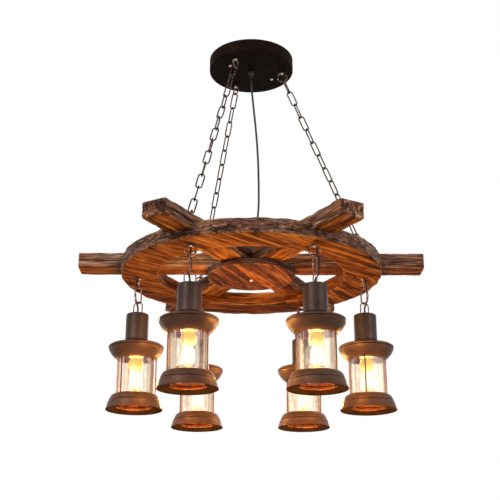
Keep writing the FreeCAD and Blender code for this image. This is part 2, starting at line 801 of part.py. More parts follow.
box_floor = spoke_top + s.box_wall
hub_bolt = make_screw("hub_bolt_blank", s.hub_bolt_shank, s.hub_bolt_head, s.screw_head_height,
                      box_floor - s.hub_lift + s.nut_height + 1)
hub_nut_blank = doc.addObject("Part::Prism", "hub_nut_blank")
hub_nut_blank.Polygon = 6
bind(hub_nut_blank, Circumradius=s.nut_radius * 1.5, Height=s.nut_height)
hub_nut = cut("hub_nut", hub_nut_blank,
              cylinder("hub_nut_hole", s.hub_bolt_shank + 0.05, s.nut_height * 3, z=-s.nut_height))
node("hub_bolt", hub_bolt, at_turn("hub_nut_placed", hub_nut, 0, z=box_floor - s.hub_lift),
     y=s.hub_bolt_offset, z=wheel_level + s.hub_lift)

upright_loop = upside_down("upright_loop", loop)
node("wheel_loops", *[
    at_turn(f"hook_loop_{name}", loop, row[1], *at_azimuth(s.hook_radius, row[0])) for name, row in LANTERNS.items()
], *[
    # The loops on the spokes stand up, square to the last link of their chain.
    at_turn(f"spoke_loop_{name}", upright_loop, azimuth + CHAIN_TWIST, *at_azimuth(s.hook_radius, azimuth), spoke_top)
    for name, azimuth in CHAIN_AZIMUTHS.items()
], z=wheel_level)

upright_screw = upside_down("upright_screw", wood_screw)
node("wheel_loop_screws", *[
    at_turn(f"hook_screw_{number}", wood_screw, 0, x, y, -s.pad_thickness)
    for number, (x, y) in enumerate(hook_places)
], *[
    at_turn(f"spoke_screw_{number}", upright_screw, 0, x, y, spoke_top + s.pad_thickness)
    for number, (x, y) in enumerate(chain_places)
], z=wheel_level)

# ---------------------------------------------------------------------------------------------------------------
# Junction box on the spokes
# ---------------------------------------------------------------------------------------------------------------

LID_SKIRT = 4.0
CORD_SOCKET = 5.0
lead_entry = s.box_wall + s.lead_radius + 0.6

box_cup = turned("box_cup", [
    (0, 0),
    (s.box_radius, 0),
    (s.box_radius, s.box_height),
    (s.box_radius - s.box_wall, s.box_height),
    (s.box_radius - s.box_wall, s.box_wall),
    (0, s.box_wall),
])
drill(box_cup, "box_bolt_hole", [(0, s.hub_bolt_offset, s.hub_bolt_shank + 0.05)], s.box_wall * 2)
entries = []
for azimuth in azimuths:
    outward = FreeCAD.Vector(*at_azimuth(1.0, azimuth), 0)
    entry = doc.addObject("Part::Cylinder", f"lead_entry_{azimuth:.0f}")
    bind(entry, Radius=lead_hole, Height=s.box_wall * 6)
    x, y = at_azimuth(s.box_radius - s.box_wall * 3, azimuth)
    entry.Placement = FreeCAD.Placement(
        FreeCAD.Vector(x.value, y.value, lead_entry.value),
        FreeCAD.Rotation(FreeCAD.Vector(0, 0, 1), outward),
    )
    bind(entry, **{".Placement.Base.x": x, ".Placement.Base.y": y, ".Placement.Base.z": lead_entry})
    entries.append(entry)
node("junction_box", cut("box_with_entries", box_cup, together("lead_entries", *entries)), z=wheel_level + spoke_top)

lid_inner = s.box_radius - s.box_wall - 0.2
lid_top = s.box_wall + LID_SKIRT
lid = turned("lid", [
    (lid_inner - s.box_wall, 0),
    (lid_inner, 0),
    (lid_inner, LID_SKIRT),
    (s.box_radius + s.lid_overlap, LID_SKIRT),
    (s.box_radius + s.lid_overlap, lid_top),
    (s.gland_radius * 1.4, lid_top),
    (s.gland_radius, lid_top + s.gland_height * 0.25),
    (s.gland_radius * 0.75, lid_top + s.gland_height),
    (cord_bore, lid_top + s.gland_height),
    (cord_bore, lid_top + s.gland_height - CORD_SOCKET),
    (0, lid_top + s.gland_height - CORD_SOCKET),
    (0, LID_SKIRT),
    (lid_inner - s.box_wall, LID_SKIRT),
])
node("junction_lid", lid, z=wheel_level + spoke_top + s.box_height - LID_SKIRT)

node("connector_block", box("connector", s.connector_length, s.connector_width, s.connector_height),
     z=wheel_level + spoke_top + s.box_wall)

# ---------------------------------------------------------------------------------------------------------------
# Cords: the supply cord, the leads on the spokes and the leads that hang to the lanterns
# ---------------------------------------------------------------------------------------------------------------

cord_top = -(s.bracket_thickness + s.terminal_height / 2)
cord_bottom = wheel_level + spoke_top + s.box_height + s.box_wall + s.gland_height - CORD_SOCKET
free_top = -(s.canopy_height + s.grip_length) - wheel_level
free_bottom = spoke_top + s.box_height + s.box_wall + s.gland_height
stretch = (free_top.value - free_bottom.value) / (SUPPLY_TOP - SUPPLY_BOTTOM)
terminal_face = at_azimuth(s.cable_hole.value + 3, COVER_SCREW_AZIMUTHS[0])
supply_points = [(terminal_face[0], terminal_face[1], cord_top.value), (0, 0, cord_top.value)]
supply_points += [
    (x, y, wheel_level.value + free_bottom.value + (z - SUPPLY_BOTTOM) * stretch) for x, y, z in SUPPLY_ROUTE
]
supply_points.append((0, 0, cord_bottom.value))
shaped_node("supply_cord", cord_tube("supply_cord", supply_points, s.supply_cord_radius.value,
                                     {1: s.supply_cord_radius.value * 2.6}))

spoke_leads = []
lamp_leads = []
drop = -(lantern_level + neck_top).value
fall = drop / LEAD_FALL
lead_low = spoke_top.value + s.lead_radius.value + 0.1
for name, (azimuth, _ring, _link, _bail, _rods, route) in LANTERNS.items():
    angle = math.radians(azimuth)
    outward = FreeCAD.Vector(math.cos(angle), math.sin(angle), 0)
    sideways = FreeCAD.Vector(-math.sin(angle), math.cos(angle), 0)
    hook = outward * s.hook_radius.value
    hole_place = hook + FreeCAD.Vector(route[0][0], route[0][1], 0)
    away = hole_place.dot(outward)
    aside = hole_place.dot(sideways)
    if azimuth % 180 == 0:
        beginning = s.connector_length.value / 2
    else:
        steepness = abs(math.sin(angle))
        skew = s.lead_radius.value * abs(math.cos(angle)) / steepness
        beginning = s.connector_width.value / 2 / steepness + skew + 0.1
    places = [
        (beginning, 0, spoke_top.value + lead_entry.value),
        (s.box_radius.value + 4, 0, spoke_top.value + lead_entry.value),
        (s.box_radius.value + 22, 0.05 * aside, lead_low),
    ]
    places += [(away * share, aside * side_share, lead_low) for share, side_share in SPOKE_ROUTE]
    places += [(away, aside, lead_low), (away, aside, 0)]
    points = [outward * out + sideways * side + FreeCAD.Vector(0, 0, height) for out, side, height in places]
    spoke_leads.append(cord_tube(f"spoke lead {name}", points, s.lead_radius.value,
                                 {len(points) - 2: s.lead_bend.value}))
    points = [hook + FreeCAD.Vector(x, y, z * fall) for x, y, z in route]
    points.append(hook + FreeCAD.Vector(0, 0, s.bushing_height.value - CORD_SOCKET * 0.7 - drop))
    lamp_leads.append(cord_tube(f"lamp lead {name}", points, s.lead_radius.value))
shaped_node("spoke_leads", Part.makeCompound(spoke_leads), z=wheel_level)
shaped_node("lamp_leads", Part.makeCompound(lamp_leads), z=wheel_level)

# ---------------------------------------------------------------------------------------------------------------
# Chains and lanterns
# ---------------------------------------------------------------------------------------------------------------

for name, azimuth in CHAIN_AZIMUTHS.items():
    shaped_node(f"chain_{name}", chain_shape(azimuth), z=wheel_level)

neck = turned("neck_cup", [
    (s.neck_radius - s.sheet, 0),
    (s.neck_radius, 0),
    (s.neck_radius, s.neck_height - s.neck_round, s.neck_round),
    (s.neck_radius - s.neck_round, s.neck_height),
    (0, s.neck_height),
    (0, s.neck_height - s.sheet),
    (s.neck_radius - s.neck_round, s.neck_height - s.sheet, s.sheet - s.neck_round),
    (s.neck_radius - s.sheet, s.neck_height - s.neck_round),
])
nipple = s.bushing_radius * 0.67
drill(
    neck,
    "neck_holes",
    [(0, 0, nipple + 0.1)] + [(s.bail_radius * side, 0, s.bail_wire + 0.1) for side in (1, -1)],
    s.neck_height * 1.1,
)

bail_arch = doc.addObject("Part::Torus", "bail_arch")
bail_arch.Angle3 = 180
bind(bail_arch, Radius1=s.bail_radius, Radius2=s.bail_wire)
bail_arch.Placement = FreeCAD.Placement(FreeCAD.Vector(0, 0, 0), FreeCAD.Rotation(FreeCAD.Vector(1, 0, 0), 90))
bind(bail_arch, **{".Placement.Base.z": s.neck_height + s.bail_leg})
BAIL_TAIL = 3.0
bail = fused("bail", bail_arch, *[
    cylinder(f"bail_leg_{side}", s.bail_wire, s.bail_leg + s.sheet + BAIL_TAIL, x=s.bail_radius * side,
             z=s.neck_height - s.sheet - BAIL_TAIL)
    for side in (1, -1)
])

bushing = turned("bushing", [
    (nipple + 0.05, 0),
    (s.bushing_radius, 0),
    (s.bushing_radius, s.bushing_height * 0.45, s.bushing_height),
    (s.bushing_radius * 0.6, s.bushing_height),
    (s.lead_radius + s.cord_clearance, s.bushing_height),
    (s.lead_radius + s.cord_clearance, s.bushing_height - CORD_SOCKET * 0.7),
    (0, s.bushing_height - CORD_SOCKET * 0.7),
    (0, s.bushing_height * 0.3),
    (nipple + 0.05, s.bushing_height * 0.3),
])
bushing_on_neck = at_turn("bushing_on_neck", bushing, 0, z=s.neck_height)

opening = s.glass_radius + s.glass_fit
bowl = s.cap_bowl_height
cap_top = s.cap_bowl_height + s.cap_cone_height
cap = turned("cap_shell", [
    (opening, 0.8),
    (opening + s.sheet, 0, s.cap_bowl_round),
    (s.cap_radius - 0.5, bowl - 3),
    (s.cap_radius, bowl + 2),
    (s.cap_radius - 3, bowl + 5),
    (s.neck_radius + 3.2, cap_top),
    (s.socket_radius + 0.5, cap_top),
    (s.socket_radius + 0.5, cap_top - s.sheet),
    (s.neck_radius + 2.7, cap_top - s.sheet),
    (s.cap_radius - 3.7, bowl + 3.6),
    (s.cap_radius - 1.7, bowl + 1.5),
    (s.cap_radius - 1.7, bowl - 3, -s.cap_bowl_round),
])


def bowl_height(radius):
    """The height of the cap's bowl, outside, at a radius: a point of the arc between its lip and its bead."""
    across = s.cap_radius - 0.5 - opening - s.sheet
    up = bowl - 3
    reach = root(s.cap_bowl_round * s.cap_bowl_round / (across * across + up * up) - 0.25)
    centre_radius = opening + s.sheet + across / 2 - up * reach
    centre_height = up / 2 + across * reach
    beside = radius - centre_radius
    return centre_height - root(s.cap_bowl_round * s.cap_bowl_round - beside * beside)


rod_places = [at_azimuth(s.rod_circle, azimuth) for azimuth in (0, 120, 240)]
rod_holes = [(x, y, s.rod_radius + 0.1) for x, y in rod_places]
drill(cap, "cap_rod_holes", rod_holes, bowl)

base = turned("base_shell", [
    (s.base_radius - s.sheet, 0),
    (s.base_radius, 0),
    (s.base_bead_radius, s.base_bead),
    (s.base_bead_radius - s.sheet, s.base_bead + 1),
    (s.base_shoulder_radius, s.base_shoulder, s.base_round),
    (opening + 2.3, s.base_height),
    (opening, s.base_height),
    (opening, s.base_height - s.sheet),
    (opening + 2, s.base_height - s.sheet, 1 - s.base_round),
    (s.base_shoulder_radius - 0.9, s.base_shoulder - 0.7),
    (s.base_bead_radius - 2.2, s.base_bead + 0.5),
    (s.base_bead_radius - 1.2, s.base_bead - 0.3),
    (s.base_radius - 3.2, s.base_seat - 2.1),
    (s.seat_hole, s.base_seat + s.sheet),
    (s.seat_hole, s.base_seat),
    (s.base_radius - 2.4, s.base_seat - 3.4),
])
drill(base, "base_rod_holes", rod_holes, s.base_height * 1.1)

ROD_FOOT = 2.5
collar_low = cap_level + bowl_height(s.rod_circle - s.rod_radius * 2) - 2.2 - ROD_FOOT
rod_top = cap_level + bowl_height(s.rod_circle + s.rod_radius) + s.sheet + s.rod_tail - ROD_FOOT
rod = turned("guard_rod", [
    (0, 0),
    (s.rod_radius, 0),
    (s.rod_radius, collar_low),
    (s.rod_radius * 2, collar_low),
    (s.rod_radius * 2, collar_low + 2),
    (s.rod_radius, collar_low + 2),
    (s.rod_radius, rod_top),
    (0, rod_top),
])
rods = [at_turn(f"guard_rod_{number}", rod, 0, x, y, ROD_FOOT) for number, (x, y) in enumerate(rod_places)]

glass_low = s.base_seat + s.sheet + 0.05
glass_length = cap_level + s.glass_grip - glass_low
glass = turned("glass_tube", [
    (s.glass_radius - s.glass_wall, 0),
    (s.glass_radius, 0),
    (s.glass_radius, glass_length),
    (s.glass_radius - s.glass_wall, glass_length),
])

socket_low = neck_level - 35
nipple_top = neck_top + s.bushing_height * 0.25 - socket_low
socket = turned("lamp_socket", [
    (s.socket_bore, 0),
    (s.socket_radius, 0),
    (s.socket_radius, s.socket_height * 0.8),
    (s.socket_radius * 0.5, s.socket_height),
    (nipple, s.socket_height),
    (nipple, nipple_top),
    (0, nipple_top),
    (0, s.socket_depth),
    (s.socket_bore, s.socket_depth),
])
bulb = turned("bulb", [
    (0, 0, s.bulb_radius * 1.17),
    (s.bulb_radius, s.bulb_waist),
    (s.bulb_radius * 0.73, s.bulb_length - s.lamp_cap_height * 1.64),
    (s.lamp_cap_radius, s.bulb_length - s.lamp_cap_height),
    (s.lamp_cap_radius, s.bulb_length),
    (0, s.bulb_length),
])
bulb_low = socket_low + s.lamp_cap_height - s.bulb_length
socket_placed = at_turn("socket_placed", socket, 0, z=socket_low)
bulb_placed = at_turn("bulb_placed", bulb, 0, z=bulb_low)

for name, (azimuth, _ring, link_turn, bail_turn, rod_turn, _route) in LANTERNS.items():
    x, y = at_azimuth(s.hook_radius, azimuth)
    floor = wheel_level + lantern_level
    shaped_node(f"hanger_link_{name}", one_link.copy(), x, y, wheel_level + link_top, link_turn)
    node(f"lantern_neck_{name}", neck, bail, bushing_on_neck, x=x, y=y, z=floor + neck_level, turn=bail_turn)
    node(f"lantern_cap_{name}", cap, x=x, y=y, z=floor + cap_level, turn=rod_turn)
    node(f"lantern_glass_{name}", glass, x=x, y=y, z=floor + glass_low)
    node(f"lantern_base_{name}", base, *rods, x=x, y=y, z=floor, turn=rod_turn)
    node(f"lantern_lamp_{name}", socket_placed, bulb_placed, x=x, y=y, z=floor)

# ---------------------------------------------------------------------------------------------------------------
# Checks and export
# ---------------------------------------------------------------------------------------------------------------

doc.recompute()
for thing in doc.Objects:
    if "Invalid" in thing.State or "Error" in thing.State:
        raise ValueError(f"{thing.Label} did not compute")
for thing in nodes:
    if thing.Shape.isNull() or not thing.Shape.isValid() or not thing.Shape.Solids:
        raise ValueError(f"{thing.Label} has no sound shape")

os.makedirs("parts", exist_ok=True)
for thing in nodes:
    thing.Shape.exportStep(f"parts/{thing.Label}.step")
print(f"{len(nodes)} nodes, {sum(len(thing.Shape.Solids) for thing in nodes)} solids")
print(f"rim underside {wheel_level.value:.3f}, spoke top {(wheel_level + spoke_top).value:.3f}")
print(f"lantern floor {(wheel_level + lantern_level).value:.3f}")
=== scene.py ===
import bpy
import math
from mathutils import Matrix, Vector, noise


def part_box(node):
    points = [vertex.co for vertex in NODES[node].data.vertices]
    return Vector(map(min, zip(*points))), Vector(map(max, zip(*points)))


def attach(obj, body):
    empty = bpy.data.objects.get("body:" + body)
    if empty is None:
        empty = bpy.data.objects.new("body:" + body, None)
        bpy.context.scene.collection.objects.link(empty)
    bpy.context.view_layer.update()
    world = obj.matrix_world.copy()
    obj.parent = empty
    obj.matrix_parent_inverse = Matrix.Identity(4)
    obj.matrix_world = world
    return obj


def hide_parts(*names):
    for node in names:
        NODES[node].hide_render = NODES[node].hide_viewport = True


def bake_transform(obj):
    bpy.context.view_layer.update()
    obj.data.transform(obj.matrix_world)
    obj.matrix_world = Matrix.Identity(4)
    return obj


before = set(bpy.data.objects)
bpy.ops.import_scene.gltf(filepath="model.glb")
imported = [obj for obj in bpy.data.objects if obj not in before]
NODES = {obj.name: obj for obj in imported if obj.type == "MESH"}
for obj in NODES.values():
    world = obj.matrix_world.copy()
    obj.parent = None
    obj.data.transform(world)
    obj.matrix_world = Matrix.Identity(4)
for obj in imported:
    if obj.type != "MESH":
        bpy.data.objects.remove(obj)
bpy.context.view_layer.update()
scene = bpy.context.scene
MM = 0.001

# Where the CAD model's own pieces stand, in metres.
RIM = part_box("rim_felloes")[0].z
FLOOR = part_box("lantern_base_right")[0].z
HOOK = 0.261

# Azimuth of each lantern, and the turns of its bail and guard rods, in degrees.
LANTERNS = {
    "right": (0, 34, 18),
    "rear_right": (60, 0, 90),
    "rear_left": (120, 0, 90),
    "left": (180, -30, 115),
    "front_left": (240, 0, 90),
    "front_right": (300, 103, 82),
}

# ----------------------------------------
# Camera
# ----------------------------------------

# Fitted to the photograph: its width and the focal length in pixels, the tilt and turn in degrees.
PICTURE_WIDTH = 500
FOCAL_PIXELS = 981.6
CAMERA_TILT = 19.98
CAMERA_TURN = -0.53
CAMERA_PLACE = (-0.0232, -2.1707, RIM - 0.7193)

camera_data = bpy.data.cameras.new("camera")
camera_data.sensor_width = 36
camera_data.lens = FOCAL_PIXELS * camera_data.sensor_width / PICTURE_WIDTH
camera_data.clip_end = 50
camera = bpy.data.objects.new("camera", camera_data)
scene.collection.objects.link(camera)
camera.location = CAMERA_PLACE
camera.rotation_euler = (math.radians(90 + CAMERA_TILT), 0, math.radians(CAMERA_TURN))
scene.camera = camera

# ----------------------------------------
# Ways of making things
# ----------------------------------------


def hook_of(name):
    angle = math.radians(LANTERNS[name][0])
    return Vector((HOOK * math.cos(angle), HOOK * math.sin(angle), 0))


def new_object(name, mesh, location=(0, 0, 0), turn=0):
    thing = bpy.data.objects.new(name, mesh)
    thing.location = location
    thing.rotation_euler = (0, 0, math.radians(turn))
    scene.collection.objects.link(thing)
    return thing


def new_mesh(name, points, faces, material, sharp=None):
    mesh = bpy.data.meshes.new(name)
    mesh.from_pydata(points, [], faces)
    mesh.update()
    mesh.shade_smooth()
    if sharp:
        mesh.set_sharp_from_angle(angle=math.radians(sharp))
    mesh.materials.append(material)
    return mesh


def route_line(name, points):
    """The smooth line along a route's points: a NURBS spline's own samples."""
    curve = bpy.data.curves.new(name, "CURVE")
    curve.dimensions = "3D"
    curve.resolution_u = 12
    spline = curve.splines.new("NURBS")
    spline.points.add(len(points) - 1)
    for point, place in zip(spline.points, points):
        point.co = (*place, 1)
    spline.order_u = 3
    spline.use_endpoint_u = True
    holder = bpy.data.objects.new(name, curve)
    scene.collection.objects.link(holder)
    bpy.context.view_layer.update()
    samples = bpy.data.meshes.new_from_object(holder)
    line = [vertex.co.copy() for vertex in samples.vertices]
    bpy.data.objects.remove(holder)
    bpy.data.meshes.remove(samples)
    return line


def length_of(line):
    return sum((b - a).length for a, b in zip(line, line[1:]))


def tube(name, line, radius, material, sides=16, lobes=0, twist=0.0, closed=False):
    """A round tube along a line. With lobes its section is that of strands twisted together."""
    count = len(line)
    points = []
    side = None
    travelled = 0.0
    for number, here in enumerate(line):
        before = line[number - 1] if number or closed else here
        after = line[(number + 1) % count] if number < count - 1 or closed else here
        ahead = (after - before).normalized()
        if side is None:
            side = ahead.orthogonal().normalized()
        side = (side - ahead * side.dot(ahead)).normalized()
        other = ahead.cross(side)
        if number:
            travelled += (here - line[number - 1]).length
        for step in range(sides):
            angle = 2 * math.pi * step / sides
            reach = radius
            if lobes:
                reach *= 0.86 + 0.14 * abs(math.cos((lobes * angle - travelled * twist) / 2))
            points.append(here + (side * math.cos(angle) + other * math.sin(angle)) * reach)
    faces = []
    for number in range(count if closed else count - 1):
        follower = (number + 1) % count
        for step in range(sides):
            nearby = (step + 1) % sides
            faces.append((number * sides + step, number * sides + nearby, follower * sides + nearby,
                          follower * sides + step))
    if not closed:
        faces.append(tuple(reversed(range(sides))))
        faces.append(tuple(range((count - 1) * sides, count * sides)))
    mesh = new_mesh(name, points, faces, material, sharp=60)
    return mesh


def lathe(name, profile, material, segments=96, sharp=35, ripple=None, inner=None, lining=None):
    """A turned mesh from a closed profile of (radius, height) in millimetres. Radius 0 ends on the axis.

    A profile point's third value is how much painted shade darkens its groove. The faces from profile point
    inner on have the lining.
    """
    points = []
    rows = []
    groove_shade = []
    for number, (radius, height, *groove) in enumerate(profile):
        groove_shade.extend((groove or [0.0]) * (1 if radius < 1e-6 else segments))
        if radius < 1e-6:
            rows.append([len(points)] * segments)
            points.append(Vector((0, 0, height * MM)))
            continue
        row = []
        for step in range(segments):
            angle = 2 * math.pi * step / segments
            reach = radius
            if ripple:
                reach += ripple(angle, height, number)
            row.append(len(points))
            points.append(Vector((reach * math.cos(angle), reach * math.sin(angle), height)) * MM)
        rows.append(row)
    faces = []
    lined = []
    for number in range(len(rows)):
        low = rows[number]
        high = rows[(number + 1) % len(rows)]
        for step in range(segments):
            nearby = (step + 1) % segments
            corners = [low[step], low[nearby], high[nearby], high[step]]
            face = [corner for place, corner in enumerate(corners) if corner not in corners[:place]]
            if len(face) > 2:
                faces.append(tuple(face))
                lined.append(1 if inner is not None and number >= inner else 0)
    mesh = new_mesh(name, points, faces, material, sharp=sharp)
    mesh.attributes.new("groove", "FLOAT", "POINT").data.foreach_set("value", groove_shade)
    if lining:
        mesh.materials.append(lining)
        mesh.polygons.foreach_set("material_index", lined)
    return mesh


def arc(start, end, radius, steps=8):
    """Points of an arc from start to end, without end. A positive radius bulges to the right of the way."""
    first = Vector(start)
    last = Vector(end)
    chord = last - first
    side = Vector((chord.y, -chord.x)).normalized() * (1 if radius > 0 else -1)
    reach = abs(radius)
    centre = (first + last) / 2 - side * math.sqrt(max(reach * reach - chord.length_squared / 4, 0))
    begin = first - centre
    sweep = begin.angle_signed(last - centre)
    points = []
    for step in range(steps):
        turned = begin.copy()
        turned.rotate(Matrix.Rotation(-sweep * step / steps, 2))
        points.append(tuple(centre + turned))
    return points


# ----------------------------------------
# Materials
# ----------------------------------------


class Shader:
    """A material with a principled shader, and short ways of adding its nodes."""

    def __init__(self, name, **sockets):
        self.material = bpy.data.materials.new(name)
        self.material.use_nodes = True
        self.tree = self.material.node_tree
        self.shader = self.tree.nodes["Principled BSDF"]
        self.output = self.tree.nodes["Material Output"]
        for socket, value in sockets.items():
            self.put(self.shader.inputs[socket.replace("_", " ")], value)

    def put(self, socket, value):
        if isinstance(value, bpy.types.NodeSocket):
            self.tree.links.new(value, socket)
        else:
            socket.default_value = value

    def add(self, kind, settings=None, **inputs):
        made = self.tree.nodes.new("ShaderNode" + kind)
        for name, value in (settings or {}).items():
            setattr(made, name, value)
        for name, value in inputs.items():
            place = int(name[1:]) if name[0] == "_" else name.replace("_", " ")
            self.put(made.inputs[place], value)
        return made

    def set(self, **sockets):
        for socket, value in sockets.items():
            self.put(self.shader.inputs[socket.replace("_", " ")], value)

    def attribute(self, name):
        return self.add("Attribute", {"attribute_name": name})

    def place(self, scale, source=None):
        if source is None:
            source = self.add("TexCoord").outputs["Object"]
        return self.add("Mapping", Vector=source, Scale=scale).outputs[0]

    def noise(self, place, scale, detail=4, rough=0.55, distortion=0.0):
        return self.add("TexNoise", Vector=place, Scale=scale, Detail=detail, Roughness=rough,
                        Distortion=distortion).outputs[0]

    def math(self, operation, first, second=0.5, clamp=False):
        return self.add("Math", {"operation": operation, "use_clamp": clamp}, _0=first, _1=second).outputs[0]

    def fit(self, value, low, high, to_low=0.0, to_high=1.0):
        return self.add("MapRange", Value=value, From_Min=low, From_Max=high, To_Min=to_low,
                        To_Max=to_high).outputs[0]

    def ramp(self, value, stops):
        made = self.add("ValToRGB", Fac=value)
        elements = made.color_ramp.elements
        while len(elements) < len(stops):
            elements.new(0.5)
        for element, (position, colour) in zip(elements, stops):
            element.position = position
            element.color = (*colour, 1)
        return made.outputs[0]

    def mix(self, factor, first, second, blend="MIX"):
        made = self.add("Mix", {"data_type": "RGBA", "blend_type": blend})
        self.put(made.inputs[0], factor)
        for place, value in ((6, first), (7, second)):
            self.put(made.inputs[place], (*value, 1) if isinstance(value, tuple) else value)
        return made.outputs[2]

    def bump(self, height, distance, strength=1.0):
        return self.add("Bump", Height=height, Distance=distance, Strength=strength).outputs[0]


def wood_material():
    wood = Shader("aged_wood")
    grain = wood.attribute("grain").outputs["Vector"]
    look = wood.add("SeparateXYZ", _0=wood.attribute("look").outputs["Vector"]).outputs
    weather, edge_wear_and_light, tone = look[0], look[1], look[2]
    broad = wood.noise(wood.place((5, 60, 60), grain), 1.0, 5, 0.62, 0.5)
    fibre = wood.noise(wood.place((22, 420, 420), grain), 1.0, 5, 0.6, 0.3)
    patch = wood.noise(wood.place((9, 16, 16), grain), 1.0, 3, 0.5)
    line_noise = wood.noise(wood.place((5.5, 85, 85), grain), 1.0, 3, 0.5, 0.3)
    line = wood.math("ABSOLUTE", wood.math("SUBTRACT", line_noise, 0.5))
    where = wood.fit(wood.noise(wood.place((9, 34, 34), grain), 1.0, 2, 0.5), 0.45, 0.52)
    crack = wood.math("MULTIPLY", wood.fit(line, 0.026, 0.006), where, clamp=True)
    fine_noise = wood.noise(wood.place((9, 230, 230), grain), 1.0, 3, 0.5, 0.2)
    fine_line = wood.math("ABSOLUTE", wood.math("SUBTRACT", fine_noise, 0.5))
    fine_crack = wood.fit(fine_line, 0.02, 0.0)
    blend = wood.math("ADD", wood.math("MULTIPLY", broad, 0.62), wood.math("MULTIPLY", fibre, 0.38))
    blend = wood.math("ADD", blend, wood.math("MULTIPLY", wood.math("SUBTRACT", tone, 0.5), 0.3))
    stained = wood.ramp(blend, [
        (0.36, (0.010, 0.003, 0.001)), (0.45, (0.065, 0.016, 0.003)), (0.52, (0.18, 0.050, 0.008)),
        (0.60, (0.34, 0.115, 0.020)), (0.72, (0.58, 0.27, 0.065)),
    ])
    dry = wood.math("ADD", wood.math("MULTIPLY", blend, 0.6), wood.math("MULTIPLY", fibre, 0.4))
    grey = wood.ramp(dry, [
        (0.38, (0.014, 0.006, 0.004)), (0.47, (0.085, 0.034, 0.020)), (0.55, (0.23, 0.105, 0.064)),
        (0.66, (0.62, 0.40, 0.29)),
    ])
    aged = wood.math("MULTIPLY", weather, wood.fit(patch, 0.32, 0.55, 0.55, 1.0), clamp=True)
    colour = wood.mix(aged, stained, grey)
    # Lighter edges: partly real wear, partly a painted highlight where light catches the edges and chamfers.
    worn_and_lit_edge = wood.math("MULTIPLY", edge_wear_and_light, wood.fit(fibre, 0.42, 0.62), clamp=True)
    colour = wood.mix(wood.math("MULTIPLY", worn_and_lit_edge, 0.75), colour, (0.58, 0.36, 0.22))
    colour = wood.mix(wood.math("MULTIPLY", fine_crack, 0.55), colour, (0.03, 0.012, 0.006))
    colour = wood.mix(wood.math("MULTIPLY", crack, 0.92), colour, (0.012, 0.005, 0.003))
    ridges = wood.math("ADD", wood.math("MULTIPLY", broad, 0.5), wood.math("MULTIPLY", fibre, 0.35))
    cuts = wood.math("ADD", wood.math("MULTIPLY", crack, 0.9), wood.math("MULTIPLY", fine_crack, 0.25))
    height = wood.math("SUBTRACT", ridges, cuts)
    wood.set(Base_Color=colour, Roughness=wood.fit(fibre, 0.3, 0.7, 0.62, 0.42),
             Normal=wood.bump(height, 0.0030), Specular_IOR_Level=wood.math("MULTIPLY", weather, 0.12))
    return wood.material


def sheet_material(name, dark, light, shine=0.45, metal=0.35, gloss=0.5):
    """Painted sheet metal: an uneven bronze paint, a little rubbed and dusty, with painted shade in its
    grooves.
    """
    paint = Shader(name, Metallic=metal)
    cloud = paint.noise(paint.place((1, 1, 1)), 22, 4, 0.6)
    speck = paint.noise(paint.place((1, 1, 1)), 420, 3, 0.6)
    rub = paint.noise(paint.place((1, 1, 3.5)), 60, 4, 0.65, 0.6)
    colour = paint.mix(paint.fit(cloud, 0.35, 0.68), dark, light)
    colour = paint.mix(paint.fit(speck, 0.6, 0.75, 0.0, 0.2), colour, tuple(c * 1.7 for c in light))
    colour = paint.mix(paint.fit(rub, 0.58, 0.74, 0.0, 0.25), colour, tuple(c * 0.5 for c in dark))
    # Painted shade: the groove attribute darkens turned grooves and creases nearly to black.
    groove = paint.attribute("groove").outputs["Fac"]
    colour = paint.mix(paint.math("MULTIPLY", groove, 0.85), colour, (0.006, 0.003, 0.002))
    height = paint.math("ADD", paint.math("MULTIPLY", speck, 0.3), paint.math("MULTIPLY", cloud, 0.5))
    paint.set(Base_Color=colour, Roughness=paint.fit(rub, 0.3, 0.7, shine, shine + 0.16),
              Normal=paint.bump(height, 0.0003, 0.5), Specular_IOR_Level=gloss)
    return paint.material


def wire_material(name, dark, middle, light, painted_glint):
    """Bronzed wire: dark in its hollows, coppery where it rubs, partly painted highlight, with fine painted
    glints.
    """
    wire = Shader(name, Metallic=0.85)
    rub = wire.noise(wire.place((1, 1, 1)), 150, 3, 0.6)
    fine = wire.noise(wire.place((1, 1, 1)), 900, 2, 0.5)
    # The light end of the ramp is partly rubbed copper, partly painted highlight.
    colour = wire.ramp(rub, [(0.36, dark), (0.5, middle), (0.66, light)])
    # Painted glints: small bright spots mixed in by fine noise.
    colour = wire.mix(wire.fit(fine, 0.55, 0.7, 0.0, 0.4), colour, painted_glint)
    wire.set(Base_Color=colour, Roughness=wire.fit(rub, 0.3, 0.7, 0.5, 0.28), Normal=wire.bump(fine, 0.0002))
    return wire.material


def plated_material(name, colour, rough):
    plated = Shader(name, Metallic=1.0)
    streak = plated.noise(plated.place((1, 1, 1)), 260, 3, 0.6, 0.3)
    plated.set(Base_Color=plated.mix(plated.fit(streak, 0.35, 0.7), tuple(c * 0.62 for c in colour), colour),
               Roughness=plated.fit(streak, 0.3, 0.7, rough, rough + 0.2),
               Normal=plated.bump(streak, 0.00015))
    return plated.material


def jacket_material(name, colour, rough=0.5):
    jacket = Shader(name)
    speck = jacket.noise(jacket.place((1, 1, 1)), 700, 3, 0.6)
    cloud = jacket.noise(jacket.place((1, 1, 1)), 45, 3, 0.6)
    dark = tuple(c * 0.6 for c in colour)
    light = tuple(c * 1.5 for c in colour)
    tint = jacket.mix(jacket.fit(cloud, 0.35, 0.7), dark, light)
    jacket.set(Base_Color=tint, Roughness=jacket.fit(speck, 0.3, 0.7, rough, rough + 0.2),
               Normal=jacket.bump(speck, 0.0002, 0.5))
    return jacket.material


